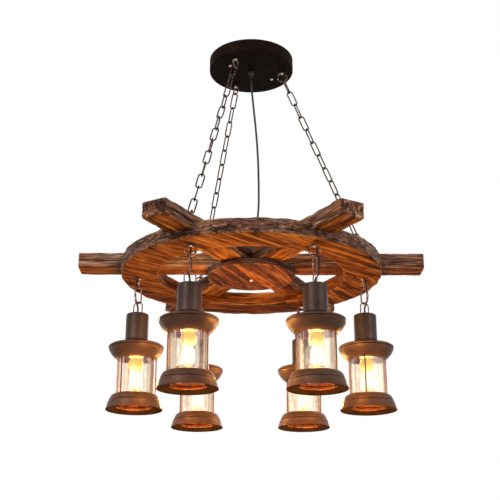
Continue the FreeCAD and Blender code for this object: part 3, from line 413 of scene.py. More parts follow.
def glass_material():
    """Clear drawn glass: upright streaks of grey, cream and rose, a thin gloss, and a painted orange-brown
    refraction at its edges.
    """
    glass = Shader("clear_glass")
    tree = glass.tree
    tree.nodes.remove(glass.shader)
    streak = glass.noise(glass.place((1, 1, 0.03)), 62, 2, 0.5, 0.2)
    wide = glass.noise(glass.place((1, 1, 0.02)), 26, 2, 0.5)
    clear = glass.ramp(streak, [
        (0.34, (0.74, 0.66, 0.58)), (0.44, (0.94, 0.90, 0.85)), (0.54, (1.0, 0.98, 0.94)),
        (0.64, (0.98, 0.89, 0.77)), (0.74, (0.91, 0.76, 0.58)),
    ])
    clear = glass.mix(glass.fit(wide, 0.4, 0.62, 0.0, 0.6), clear, (0.99, 0.93, 0.84))
    rim = glass.add("LayerWeight", Blend=0.5).outputs["Facing"]
    clear = glass.mix(glass.fit(rim, 0.0, 0.26, 0.8, 0.0), clear, (1.0, 1.0, 1.0))
    # Painted refraction: seen edge-on, the tube turns orange-brown, standing in for the lit metal and rods
    # seen through its thickness.
    edge = glass.mix(glass.fit(rim, 0.44, 0.80, 0.0, 0.9), clear, (0.60, 0.34, 0.13))
    see = glass.add("BsdfTransparent", Color=edge)
    gloss = glass.add("BsdfGlossy", Color=(1, 1, 1, 1), Roughness=0.05)
    factor = glass.fit(glass.add("Fresnel", IOR=1.45).outputs[0], 0.0, 1.0, 0.02, 0.55)
    whole = glass.add("MixShader", _0=factor, _1=see.outputs[0], _2=gloss.outputs[0])
    tree.links.new(whole.outputs[0], glass.output.inputs[0])
    return glass.material


def envelope_material():
    """A lamp's amber glass."""
    glass = Shader("lamp_glass")
    tree = glass.tree
    tree.nodes.remove(glass.shader)
    cloud = glass.noise(glass.place((1, 1, 0.3)), 60, 2, 0.5)
    rim = glass.add("LayerWeight", Blend=0.4).outputs["Facing"]
    tint = glass.mix(glass.fit(rim, 0.2, 1.0, 0.0, 0.8), (1.0, 1.0, 1.0), (0.95, 0.76, 0.50))
    tint = glass.mix(glass.fit(cloud, 0.4, 0.7, 0.0, 0.12), tint, (0.98, 0.86, 0.62))
    see = glass.add("BsdfTransparent", Color=tint)
    haze = glass.add("Emission", Color=(1.0, 0.93, 0.80, 1), Strength=1.0)
    facing = glass.fit(rim, 0.10, 0.90, 0.10, 0.16)
    veil = glass.add("MixShader", _0=facing, _1=see.outputs[0], _2=haze.outputs[0])
    gloss = glass.add("BsdfGlossy", Color=(1, 1, 1, 1), Roughness=0.08)
    whole = glass.add("MixShader", _0=0.05, _1=veil.outputs[0], _2=gloss.outputs[0])
    tree.links.new(whole.outputs[0], glass.output.inputs[0])
    return glass.material


def glow_material():
    """The lit part of a lamp, yellow at its top, white in its middle and greenish at its tip."""
    glow = Shader("lamp_glow", Roughness=0.6)
    height = glow.add("SeparateXYZ", _0=glow.add("TexCoord").outputs["Object"]).outputs[2]
    ripple = glow.noise(glow.place((1, 1, 0.4)), 160, 2, 0.5)
    level = glow.math("ADD", glow.fit(height, 0.0, 0.08), glow.fit(ripple, 0.3, 0.7, -0.02, 0.02))
    colour = glow.ramp(level, [
        (0.07, (0.70, 0.66, 0.10)), (0.11, (1.0, 0.93, 0.45)), (0.16, (1.0, 1.0, 1.0)),
        (0.56, (1.0, 1.0, 1.0)),
        (0.62, (0.98, 0.85, 0.25)), (0.74, (0.84, 0.55, 0.02)),
    ])
    amber = glow.noise(glow.place((1, 1, 1.4)), 190, 3, 0.6, 0.6)
    leaf = glow.math("MULTIPLY", glow.fit(amber, 0.46, 0.60), glow.fit(level, 0.62, 0.70), clamp=True)
    colour = glow.mix(glow.math("MULTIPLY", leaf, 0.75), colour, (0.42, 0.22, 0.01))
    glow.set(Base_Color=(0.05, 0.04, 0.02, 1), Emission_Color=colour, Emission_Strength=1.0)
    return glow.material


WOOD = wood_material()
BRONZE = sheet_material("bronze_sheet", (0.078, 0.032, 0.017), (0.125, 0.056, 0.031), 0.36, 0.35, 0.2)
CANOPY = sheet_material("canopy_sheet", (0.010, 0.005, 0.003), (0.017, 0.009, 0.006), 0.55, 0.0, 0.02)
INSIDE = sheet_material("inside_sheet", (0.075, 0.018, 0.004), (0.20, 0.062, 0.012), 0.5, 0.0, 0.0)
ROD = sheet_material("guard_rods", (0.050, 0.020, 0.010), (0.110, 0.048, 0.026), 0.34, 0.6, 0.2)
# The last colour of each wire finish is its painted glint.
WIRE = wire_material("bronze_wire", (0.030, 0.014, 0.010), (0.15, 0.064, 0.042), (0.55, 0.29, 0.19),
                     (0.66, 0.40, 0.30))
CHAIN = wire_material("chain_wire", (0.012, 0.007, 0.006), (0.050, 0.026, 0.020), (0.20, 0.12, 0.095),
                      (0.34, 0.22, 0.18))
NECK_SHEET = sheet_material("neck_sheet", (0.036, 0.020, 0.015), (0.066, 0.037, 0.028), 0.34, 0.55, 0.25)
BRIGHT = plated_material("bright_screws", (0.92, 0.86, 0.80), 0.18)
COPPER = plated_material("hub_bolt_copper", (0.95, 0.60, 0.46), 0.3)
STEEL = plated_material("plated_steel", (0.60, 0.60, 0.58), 0.3)
CORD = jacket_material("cord_jacket", (0.012, 0.010, 0.009), 0.42)
MOULDING = jacket_material("moulding", (0.025, 0.020, 0.018), 0.5)
GLASS = glass_material()
ENVELOPE = envelope_material()
GLOW = glow_material()

# ----------------------------------------
# Cords
# ----------------------------------------

# The supply cord, from the terminal block through the grip to the junction box, in millimetres. Of its
# heights ROUTE_TOP stands for the grip's bottom and ROUTE_LOW for the top of the junction box's lid.
SUPPLY_ROUTE = [
    (0, 0, 524), (1, 0.2, 498), (5, 0.8, 454), (10.2, 1, 400), (14.6, 0.2, 342), (17.2, -1, 284),
    (18, -2, 224), (17.6, -2.2, 172), (12.6, -1.6, 134), (3.6, -0.5, 110), (0, 0, 98),
]
ROUTE_TOP = 532.3
ROUTE_LOW = 83.2
CORD_RADIUS = 2.5 * MM
GRIP_BOTTOM = -0.046
CORD_END = (0, 0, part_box("supply_cord")[0].z)
TERMINAL_REACH = 11 * MM
TERMINAL_AZIMUTH = math.radians(32)
TERMINAL_HEIGHT = -8.5 * MM
SUPPLY_TOP = GRIP_BOTTOM - RIM
SUPPLY_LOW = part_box("junction_lid")[1].z - RIM
stretch = (SUPPLY_TOP - SUPPLY_LOW) / (ROUTE_TOP - ROUTE_LOW)


def supply_place(point):
    x, y, z = point
    return Vector((x * MM, y * MM, RIM + SUPPLY_LOW + (z - ROUTE_LOW) * stretch))


terminal_x = TERMINAL_REACH * math.cos(TERMINAL_AZIMUTH)
terminal_y = TERMINAL_REACH * math.sin(TERMINAL_AZIMUTH)
supply_points = [(terminal_x, terminal_y, TERMINAL_HEIGHT), (0, 0, TERMINAL_HEIGHT)]
supply_points += [supply_place(point) for point in SUPPLY_ROUTE] + [CORD_END]
supply_line = route_line("supply_route", supply_points)
supply = new_object("supply_cord_jacket", tube("supply_cord_jacket", supply_line, CORD_RADIUS, CORD, 20))
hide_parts("supply_cord")
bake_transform(supply)

# The lamp leads below the rim: offsets from the hook, in millimetres.
LEAD_ROUTES = {
    "right": [(6, 9, 0), (6, 9, -9), (8.4, 9.2, -22), (10.2, 10, -35), (9, 11.4, -47), (4.8, 10.8, -57),
              (1.2, 6.6, -65.5), (0, 0, -73)],
    "rear_right": [(-6, 10, 0), (-6, 10, -9), (-7.6, 9.6, -21), (-9, 9, -34), (-8.8, 8.4, -46),
                   (-6.4, 7, -56.5), (-2.8, 4.2, -65.5), (0, 0, -73)],
    "rear_left": [(6, 10, 0), (6, 10, -9), (7.6, 9.6, -21), (9, 9, -34), (8.8, 8.4, -46), (6.4, 7, -56.5),
                  (2.8, 4.2, -65.5), (0, 0, -73)],
    "left": [(-6, 9, 0), (-6, 9, -9), (-8.2, 9.4, -22), (-9, 10.4, -35), (-7.4, 11.6, -47), (-4, 10.8, -57),
             (-1, 6.6, -65.5), (0, 0, -73)],
    "front_left": [(0, 12, 0), (0, 12, -9), (-1.6, 12.4, -21), (-3.4, 12.6, -34), (-4.4, 11.6, -46),
                   (-4, 9, -56.5), (-2, 5, -65.5), (0, 0, -73)],
    "front_right": [(6, 10.5, 0), (6, 10.5, -9), (8.6, 10.2, -21), (10.6, 8, -35), (11, 5.2, -48),
                    (9.4, 2.6, -58), (5.4, 1, -66.5), (0, 0, -73.5)],
}
LEAD_FALL = 85.1
LEAD_RADIUS = 2.2 * MM
LEAD_TWIST = 700
NECK_TOP = 220.5
lead_fall = (RIM - FLOOR) / MM - NECK_TOP
for name, route in LEAD_ROUTES.items():
    hook = hook_of(name) + Vector((0, 0, RIM))
    points = [hook + Vector((x, y, z * lead_fall / LEAD_FALL)) * MM for x, y, z in route]
    points.append(hook + Vector((0, 0, 2.5 - lead_fall)) * MM)
    line = route_line(f"lead_route_{name}", points)
    total = length_of(line)
    half = 0
    run = 0.0
    while run < total * 0.5:
        run += (line[half + 1] - line[half]).length
        half += 1
    for part, stretch_line, upper_body, lower_body in (
        ("upper", line[:half + 1], "wheel", f"link_{name}"),
        ("lower", line[half:], f"link_{name}", f"lantern_{name}"),
    ):
        lead_name = f"lamp_lead_{part}_{name}"
        lead_mesh = tube(lead_name, stretch_line, LEAD_RADIUS, CORD, 18, lobes=2, twist=LEAD_TWIST)
        lead = new_object(lead_name, lead_mesh)
        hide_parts("lamp_leads")
        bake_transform(lead)

# The leads on the spokes lie still on the wheel. Each pair of SPOKE_ROUTE is the share of the way out, and
# of the way aside, to the hole in the rim. The rest is in millimetres: the spokes' top above the rim's
# underside, how high the leads run above it, in the junction box's wall and on the wood, how far from the
# wheel's axis they leave the connector block at its ends and its sides, the box's radius, and the bend.
SPOKE_ROUTE = [(0.38, 0.3), (0.6, 0.42), (0.83, 0.9)]
SPOKE_TOP = 52
ENTRY_RISE = 4
LEAD_RISE = 2.3
BLOCK_END = 13
BLOCK_SIDE = 9.45
BOX_RADIUS = 42
LEAD_BEND = 7
for name, route in LEAD_ROUTES.items():
    azimuth = LANTERNS[name][0]
    angle = math.radians(azimuth)
    outward = Vector((math.cos(angle), math.sin(angle), 0))
    sideways = Vector((-math.sin(angle), math.cos(angle), 0))
    hole = hook_of(name) + Vector((route[0][0], route[0][1], 0)) * MM
    away = hole.dot(outward)
    aside = hole.dot(sideways)
    beginning = (BLOCK_END if azimuth % 180 == 0 else BLOCK_SIDE) * MM
    top = RIM + SPOKE_TOP * MM
    high = top + ENTRY_RISE * MM
    low = top + LEAD_RISE * MM
    places = [(beginning, 0, high), ((BOX_RADIUS + 4) * MM, 0, high)]
    places += [((BOX_RADIUS + 22) * MM, 0.05 * aside, low)]
    places += [(away * out, aside * side, low) for out, side in SPOKE_ROUTE]
    places += [(away - LEAD_BEND * MM, aside, low), (away, aside, low)]
    places += [(away, aside, low - LEAD_BEND * MM), (away, aside, RIM)]
    line = route_line(f"spoke_route_{name}", [
        outward * out + sideways * side + Vector((0, 0, height)) for out, side, height in places
    ])
    lead_name = f"spoke_lead_{name}"
    lead = new_object(lead_name, tube(lead_name, line, LEAD_RADIUS, CORD, 16, lobes=2, twist=LEAD_TWIST))
    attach(lead, "wheel")
    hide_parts("spoke_leads")

# ----------------------------------------
# The wheel's wood
# ----------------------------------------


def rough(x, y, z, scale, seed):
    """Smooth noise between about -1 and 1."""
    return noise.noise(Vector((x * scale + seed * 7.3, y * scale + seed * 3.1, z * scale - seed * 5.7)))


def steps_between(first, last, pace):
    """Values from first towards last, about pace apart, closer at both ends."""
    count = max(2, round(abs(last - first) / pace))
    return [first + (last - first) * step / count for step in range(count)]


def section_of(corners, pace):
    """A closed section as a list of (across, up, side number, distance to the nearer corner)."""
    section = []
    for number, (across, up) in enumerate(corners):
        next_across, next_up = corners[(number + 1) % len(corners)]
        length = math.hypot(next_across - across, next_up - up)
        places = [0.0]
        if length > 6:
            places += [1.2, 3.0]
            inner = steps_between(3.0, length - 3.0, pace)[1:]
            places += inner + [length - 3.0, length - 1.2]
        for place in places:
            share = place / length
            section.append((across + (next_across - across) * share, up + (next_up - up) * share, number,
                            min(place, length - place)))
    return section


def wood_mesh(name, rings, sides, closed, grain_of, look_of, caps):
    """A mesh from rings of points, with each face's grain coordinates and look."""
    count = len(rings[0])
    points = [point for ring in rings for point in ring]
    faces = []
    face_side = []
    total = len(rings)
    for number in range(total if closed else total - 1):
        follower = (number + 1) % total
        for step in range(count):
            nearby = (step + 1) % count
            faces.append((number * count + step, number * count + nearby, follower * count + nearby,
                          follower * count + step))
            face_side.append(sides[step])
    for ring_number, flip in caps:
        base = ring_number * count
        ring = rings[ring_number]
        centre = sum(ring, Vector()) / count
        layers = 5
        inner = [base + step for step in range(count)]
        for layer in range(1, layers + 1):
            if layer == layers:
                middle = len(points)
                points.append(centre)
                fresh = [middle] * count
            else:
                fresh = []
                for step in range(count):
                    fresh.append(len(points))
                    points.append(ring[step].lerp(centre, layer / layers))
            for step in range(count):
                nearby = (step + 1) % count
                face = [inner[step], inner[nearby], fresh[nearby], fresh[step]]
                if layer == layers:
                    face = face[:3]
                if flip:
                    face.reverse()
                faces.append(tuple(face))
                face_side.append(-1)
            inner = fresh
    mesh = new_mesh(name, points, faces, WOOD, sharp=48)
    grain = mesh.attributes.new("grain", "FLOAT_VECTOR", "CORNER")
    look = mesh.attributes.new("look", "FLOAT_VECTOR", "CORNER")
    grains = []
    looks = []
    for polygon in mesh.polygons:
        side = face_side[polygon.index]
        for loop in polygon.loop_indices:
            place = mesh.vertices[mesh.loops[loop].vertex_index].co
            grains.extend(grain_of(place, side))
            looks.extend(look_of(place, side))
    grain.data.foreach_set("vector", grains)
    look.data.foreach_set("vector", looks)
    return mesh


def hewn(distance, along, across, seed, chips=2.2, hollows=0.5):
    """How far a hewn surface stands back, in millimetres: chipped near its edges, hollowed elsewhere."""
    edge = max(0.0, 1 - distance / 4.5)
    chip = max(0.0, rough(along, across, 0, 0.035, seed) + 0.25) * chips
    fine = max(0.0, rough(along, across, 3, 0.16, seed + 5)) * chips * 0.5
    hollow = (rough(along * 0.35, across, 9, 0.05, seed + 9) + 1) * 0.5 * hollows
    return edge * (0.35 + chip + fine) + hollow


# The timber's sizes, in millimetres.
SPOKE_HALF = 30
SPOKE_HEIGHT = 35.5
SPOKE_SEAT = 16.5
SPOKE_END = 399.6
GROOVE = 18
GROOVE_DEPTH = 2.5
RIM_INNER = 215
RIM_OUTER = 302
RIM_HEIGHT = 33
HUB_RADIUS = 102
HUB_BORE = 1.5
HUB_HEIGHT = 15.5
HUB_SEAT = 1.0

SPOKE_TONE = (0.55, 0.5, 0.5, 0.9, 0.56, 0.62)


def spoke_mesh(number):
    """One spoke as hewn square timber: it runs along X from its mitred inner end."""
    right_side = [(SPOKE_HALF, 0), (SPOKE_HALF, GROOVE - 2), (SPOKE_HALF - GROOVE_DEPTH, GROOVE),
                  (SPOKE_HALF, GROOVE + 2), (SPOKE_HALF, SPOKE_HEIGHT)]
    corners = [(-SPOKE_HALF, 0)] + right_side + [(-across, up) for across, up in reversed(right_side[1:])]
    section = section_of(corners, 4.0)
    stations = steps_between(0, 392, 5.0) + [392, 396, 398.6, SPOKE_END]
    middle_up = SPOKE_HEIGHT / 2
    rings = []
    for place in stations:
        ring = []
        for across, up, side, distance in section:
            start = abs(across) / math.tan(math.radians(30)) + 0.15
            along = start + (SPOKE_END - start) * place / SPOKE_END
            groove = side in (2, 3, 7, 8)
            back = 0.12 if groove else hewn(min(distance, 6), along, across + up * 2, number, 2.0, 0.45)
            end_wear = max(0.0, 1 - (SPOKE_END - along) / 4.0)
            end_wear *= 1.3 + rough(across, up, 0, 0.12, number + 20)
            shift_across = 0.0
            shift_up = 0.0
            if groove or side in (1, 4, 5, 6, 9) or distance < 4:
                shift_across = -math.copysign(back, across)
            if not groove and (side in (0, 5) or distance < 3):
                shift_up = back if up < middle_up else -back
            dent = 1 - end_wear * 0.02
            ring.append(Vector(((along - (0.3 if end_wear else 0)) * MM, (across + shift_across) * dent * MM,
                                (middle_up + (up + shift_up - middle_up) * dent) * MM)))
        rings.append(ring)

    def grain_of(place, side):
        if side == -1:
            return place.x * 0.1 + number, place.y * 0.35, place.z * 0.35 + number * 0.37
        return place.x + number * 0.71, place.y + number * 0.13, place.z + number * 0.37

    def look_of(place, side):
        y = abs(place.y / MM)
        z = place.z / MM
        # Edge mask for the lighter edges: partly wear, partly painted highlight.
        edge = max(min(abs(SPOKE_HALF - y), 8), 0) + max(min(z, SPOKE_HEIGHT - z, 8), 0)
        worn_and_lit_edge = max(0.0, 1 - edge / 4)
        outer = min(1.0, max(0.0, (place.x / MM - 290) / 30))
        weather = {0: 0.1, -1: 0.7}.get(side, 0.55 + 0.35 * outer)
        return weather, worn_and_lit_edge, SPOKE_TONE[number] if side else 0.55

    return wood_mesh(f"spoke_{number}", rings, [entry[2] for entry in section], False, grain_of, look_of,
                     [(0, True), (len(rings) - 1, False)])


# Where the first rim piece begins, the gap between two of them and the run of each one's grain, in degrees.
FELLOE_START = -3
FELLOE_GAP = 0.12
FELLOE_GRAIN = (55, 8, 28, 40, 43, 40)
FELLOE_TONE = (0.55, 0.50, 0.48, 0.56, 0.60, 0.54)


def felloe_mesh(number):
    """One curved rim piece with a rough outer face."""
    corners = [(RIM_INNER, 0), (RIM_OUTER, 0), (RIM_OUTER, RIM_HEIGHT), (RIM_INNER, RIM_HEIGHT)]
    section = section_of(corners, 4.5)
    begin = 60 * number + FELLOE_START + FELLOE_GAP / 2
    finish = begin + 60 - FELLOE_GAP
    count = 110
    rings = []
    for station in range(count + 1):
        degrees = begin + (finish - begin) * station / count
        angle = math.radians(degrees)
        ring = []
        for across, up, side, distance in section:
            outer = across > 258
            run = angle * (RIM_OUTER if outer else RIM_INNER)
            chips = 3.0 if outer else 1.6
            back = hewn(distance, run, up * 1.5 + (0 if outer else 50), 30 + number, chips, 0.5)
            layer = 0.0
            if side == 1 and distance > 1:
                layer = max(0.0, rough(run * 0.5, up * 4.5, 1, 0.05, number + 40)) * 2.6
            shift_across = 0.0
            shift_up = 0.0
            if side in (1, 3) or distance < 3.5:
                shift_across = -(back + layer) if outer else back
            if side in (0, 2) or distance < 3.5:
                shift_up = back * 0.8 if up < 16 else -back * 0.8
            joint = max(0.0, 1 - min(degrees - begin, finish - degrees) / 0.5)
            if joint and distance < 4:
                shift_up += (1 if up < 16 else -1) * joint * 0.8
            radius = across + shift_across
            ring.append(Vector((radius * math.cos(angle), radius * math.sin(angle), up + shift_up)) * MM)
        rings.append(ring)
    grain_angle = math.radians(FELLOE_GRAIN[number])
    cos_grain = math.cos(grain_angle)
    sin_grain = math.sin(grain_angle)

    def grain_of(place, side):
        if side == 1:
            around = math.atan2(place.y, place.x) % (2 * math.pi)
            return around * 0.9 + number, place.z * 0.75, number * 0.31
        if side == 3:
            around = math.atan2(place.y, place.x) % (2 * math.pi)
            return around * 0.215 + number, place.z, number * 0.57
        return (place.x * cos_grain + place.y * sin_grain + number * 0.41,
                place.y * cos_grain - place.x * sin_grain + number * 0.23, place.z * 0.6 + number * 0.19)

    def look_of(place, side):
        radius = math.hypot(place.x, place.y) / MM
        z = place.z / MM
        # Edge mask for the lighter edges: partly wear, partly a painted highlight on the lit chamfers.
        edge = max(0.0, min(RIM_OUTER - radius, radius - RIM_INNER)) + max(0.0, min(z, RIM_HEIGHT - z))
        worn_and_lit_edge = max(0.0, 1 - edge / 5)
        weather = {0: 0.04, 1: 1.0, 2: 0.7, 3: 0.12, -1: 0.3}[side]
        return weather, worn_and_lit_edge, FELLOE_TONE[number]

    return wood_mesh(f"felloe_{number}", rings, [entry[2] for entry in section], False, grain_of, look_of,
                     [(0, True), (len(rings) - 1, False)])


def hub_mesh():
    """The round board under the spokes' middle, with its long crack."""
    corners = [(HUB_BORE, 0), (HUB_RADIUS, 0), (HUB_RADIUS, HUB_HEIGHT), (HUB_BORE, HUB_HEIGHT)]
    section = section_of(corners, 4.0)
    count = 180
    rings = []
    grain_angle = math.radians(64)
    cos_grain = math.cos(grain_angle)
    sin_grain = math.sin(grain_angle)
    for station in range(count):
        angle = 2 * math.pi * station / count
        ring = []
        for across, up, side, distance in section:
            outer = across > 50
            along = math.cos(angle) * HUB_RADIUS
            beside = math.sin(angle) * HUB_RADIUS + up
            back = hewn(distance if outer else 9, along, beside, 70, 2.2, 0.4)
            shift_across = -back if outer and (side == 1 or distance < 3.5) else 0.0
            shift_up = 0.0
            if side in (0, 2) or distance < 3.5:
                shift_up = back * 0.7 if up < 8 else -back * 0.7
            radius = across + shift_across
            x = radius * math.cos(angle)
            y = radius * math.sin(angle)
            if side == 0 and across > 2:
                u = x * cos_grain + y * sin_grain
                v = y * cos_grain - x * sin_grain
                wander = 8 + 2.2 * math.sin(u * 0.06) + rough(u, 0, 0, 0.05, 3) * 2
                depth = max(0.0, 1 - abs(v + wander) / 1.6) * min(1.0, max(0.0, (u + 50) / 30))
                shift_up += depth * 2.2
            ring.append(Vector((x, y, up + shift_up)) * MM)
        rings.append(ring)

    def grain_of(place, side):
        if side == 1:
            return math.atan2(place.y, place.x) % (2 * math.pi) * 0.098 + 3, place.z, 0.77
        return (place.x * cos_grain + place.y * sin_grain + 5.1,
                place.y * cos_grain - place.x * sin_grain + 0.9, place.z * 0.6)

    def look_of(place, side):
        radius = math.hypot(place.x, place.y) / MM
        z = place.z / MM
        # Edge mask for the lighter edges: partly wear, partly painted highlight.
        edge = max(0.0, HUB_RADIUS - radius) + max(0.0, min(z, HUB_HEIGHT - z))
        worn_and_lit_edge = max(0.0, 1 - edge / 4.5)
        return {0: 0.12, 1: 0.85, 2: 0.6, 3: 0.5, -1: 0.5}[side], worn_and_lit_edge, 0.36

    return wood_mesh("hub_board", rings, [entry[2] for entry in section], True, grain_of, look_of, [])


for number in range(6):
    spoke = new_object(f"spoke_timber_{number}", spoke_mesh(number), (0, 0, RIM + SPOKE_SEAT * MM),
                       60 * number)
    felloe = new_object(f"felloe_timber_{number}", felloe_mesh(number), (0, 0, RIM))
    for piece, node_name in ((spoke, "spokes"), (felloe, "rim_felloes")):
        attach(piece, "wheel")
        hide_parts(node_name)
hub = new_object("hub_timber", hub_mesh(), (0, 0, RIM + HUB_SEAT * MM))
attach(hub, "wheel")
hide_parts("hub_disc")

# ----------------------------------------
# Lanterns, in millimetres above the lantern's open base
# ----------------------------------------

# Where the cap, the neck and the lamp's glow and light stand. LAMP lowers the whole lamp from its profiles.
CAP = 114.5
NECK = 155.5
LAMP = -7.5
GLOW_RISE = 47.0
LIGHT_RISE = 82
ROD_CIRCLE = 46.5
BAIL_RADIUS = 12
BAIL_CENTRE = 238.3
BAIL_LEG = (217.5, 225.0, 233.0)
BAIL_WIRE = 1.45

# A profile point's third value is painted shade, darkest at 1, in the groove or crease at that point.
base_profile = [(62.4, 0.0), (63.0, 0.0), (63.5, 0.5), (63.2, 1.6)]
base_profile += arc((62.9, 2.4), (59.3, 14.6), -60, 6)
base_profile += [(59.3, 14.6), (59.1, 16.0), (58.4, 17.0, 0.2), (57.4, 17.4, 1.0), (56.6, 18.0, 1.0),
                 (56.6, 18.7, 0.7), (56.9, 19.4, 0.1)]
base_profile += arc((56.9, 19.9), (54.6, 25.2), 30, 4)
base_profile += arc((54.6, 25.2), (45.0, 34.1), 12, 8)
base_profile += [(45.0, 34.1), (44.0, 34.5), (42.4, 34.5), (41.9, 34.1), (41.9, 33.5), (42.4, 33.2)]
base_profile += arc((43.9, 33.2), (53.4, 24.8), -11, 8)
INNER_WALL = len(base_profile)
base_profile += [(53.4, 24.8), (55.4, 18.0), (57.4, 17.0), (60.3, 3.9), (50.0, 5.7), (39.4, 7.2),
                 (39.0, 6.9), (39.0, 6.3), (39.4, 6.0), (50.0, 4.5), (60.9, 2.7)]
rod_profile = [(0, 2.5), (1.1, 2.5), (1.5, 2.9), (1.5, 112.6), (2.6, 112.8), (3.0, 113.2), (3.0, 114.0),
               (2.6, 114.4), (1.5, 114.6), (1.5, 122.2), (1.1, 122.6), (0, 122.6)]
cap_profile = [(41.9, 0.9), (42.4, 0.2), (43.2, 0.0)]
cap_profile += arc((43.2, 0.0), (61.8, 23.2), 55, 14)
cap_profile += [(61.8, 23.2), (61.8, 24.0, 0.1), (61.0, 24.5, 0.9), (60.7, 25.2, 1.0), (61.0, 25.9, 0.9),
                (62.0, 26.3, 0.1), (62.5, 27.2), (62.5, 28.6), (61.9, 29.8), (60.8, 30.4), (59.4, 30.5, 0.7),
                (59.0, 31.0, 0.9), (58.8, 31.6, 0.3), (58.4, 32.2)]
cap_profile += arc((58.4, 32.2), (30.7, 40.1), -160, 8)
cap_profile += [(30.7, 40.1), (29.5, 40.7), (28.4, 41.0), (18.4, 41.0), (18.2, 40.7), (18.2, 40.0),
                (18.5, 39.8), (28.7, 39.7), (58.4, 30.7), (60.6, 28.6), (60.7, 24.0)]
cap_profile += arc((60.7, 24.0), (42.3, 1.3), -55, 14)
neck_profile = [(24.8, 0.0), (25.4, 0.0, 0.6), (26.0, 0.25, 0.4), (26.0, 1.4), (25.5, 1.8, 0.8),
                (25.3, 2.3, 1.0), (25.5, 2.9, 0.8), (26.0, 3.4)]
neck_profile += [(26.0, 3.5 + (61.0 - 3.5) * step / 8) for step in range(1, 8)]
neck_profile += arc((26.0, 61.0), (22.0, 65.0), 4, 8)
neck_profile += [(22.0, 65.0), (14.0, 65.0), (4.2, 65.0), (4.2, 63.8), (22.0, 63.8), (24.8, 61.0)]
bushing_profile = [(0, 0.2), (6.0, 0.0), (6.0, 2.4), (5.9, 3.0), (5.4, 4.2), (4.6, 5.2), (3.6, 5.9),
                   (2.8, 6.0), (2.6, 5.6), (2.5, 2.6), (0, 2.6)]
glass_profile = [(39.6, 7.2), (41.2, 7.2), (41.5, 7.5), (41.5, 60.0), (41.5, 122.1), (41.2, 122.4),
                 (39.8, 122.4), (39.5, 122.1), (39.5, 60.0), (39.5, 7.5)]
socket_profile = [(13.8, 128.0), (17.0, 128.0), (17.5, 128.5), (17.5, 136.0), (16.9, 136.6), (16.9, 139.0),
                  (17.5, 139.6), (17.5, 184.0), (8.8, 197.8), (4.0, 198.0), (4.0, 229.4), (0, 229.4),
                  (0, 155.2), (13.6, 155.2), (13.6, 128.2)]
envelope_profile = [(0, 43.0)] + arc((0.6, 43.0), (20.5, 78.0), 24, 16)
envelope_profile += [(20.5, 78.0), (19.4, 92.0), (18.6, 102.0), (18.1, 109.0), (16.6, 116.0), (13.6, 122.5),
                     (13.2, 127.0), (0, 127.0)]
cap_thread_profile = [(0, 127.2)]
for turn in range(7):
    cap_thread_profile += [(13.1, 127.4 + turn * 3.2), (12.4, 129.0 + turn * 3.2)]
cap_thread_profile += [(12.0, 150.0), (5.0, 152.4), (0, 152.6)]
glow_profile = [(0, 4.0), (3.0, 4.4), (5.4, 6.4), (6.6, 9.0), (9.8, 11.0), (12.2, 14.6), (13.4, 20.0),
                (13.6, 30.0), (13.4, 38.0), (12.2, 43.0), (9.6, 46.6), (8.8, 48.4), (10.2, 50.6),
                (13.6, 53.4), (16.2, 57.6), (17.2, 62.5), (16.6, 68.0), (14.4, 73.5), (9.6, 78.0),
                (0, 79.6)]


def dented(angle, height, number):
    """Hand-spun sheet metal is a hair out of true."""
    return noise.noise(Vector((math.cos(angle) * 1.6, math.sin(angle) * 1.6, height * 0.03))) * 0.14 - 0.14


def glass_ripple(angle, height, number):
    return noise.noise(Vector((math.cos(angle) * 3, math.sin(angle) * 3, height * 0.02))) * 0.12 - 0.06


shapes = {
    "base_shell": lathe("base_shell", base_profile, BRONZE, 120, ripple=dented, inner=INNER_WALL,
                        lining=INSIDE),
    "guard_rod": lathe("guard_rod", rod_profile, ROD, 16),
    "cap_shell": lathe("cap_shell", cap_profile, BRONZE, 120, ripple=dented),
    "neck_cup": lathe("neck_cup", neck_profile, NECK_SHEET, 96, ripple=dented),
    "lead_bushing": lathe("lead_bushing", bushing_profile, MOULDING, 40),
    "guard_glass": lathe("guard_glass", glass_profile, GLASS, 96, ripple=glass_ripple),
    "lamp_socket": lathe("lamp_socket", socket_profile, MOULDING, 48),
    "lamp_envelope": lathe("lamp_envelope", envelope_profile, ENVELOPE, 48),
    "lamp_thread": lathe("lamp_thread", cap_thread_profile, STEEL, 48),
    "lamp_glow": lathe("lamp_glow", glow_profile, GLOW, 40, sharp=80),
}
bail_line = [Vector((BAIL_RADIUS, 0, z)) for z in BAIL_LEG]
for degrees in range(0, 181, 9):
    angle = math.radians(degrees)
    bail_line.append(Vector((BAIL_RADIUS * math.cos(angle), 0, BAIL_CENTRE + BAIL_RADIUS * math.sin(angle))))
bail_line += [Vector((-BAIL_RADIUS, 0, z)) for z in reversed(BAIL_LEG)]
shapes["bail_wire"] = tube("bail_wire", [point * MM for point in bail_line], BAIL_WIRE * MM, WIRE, 16)

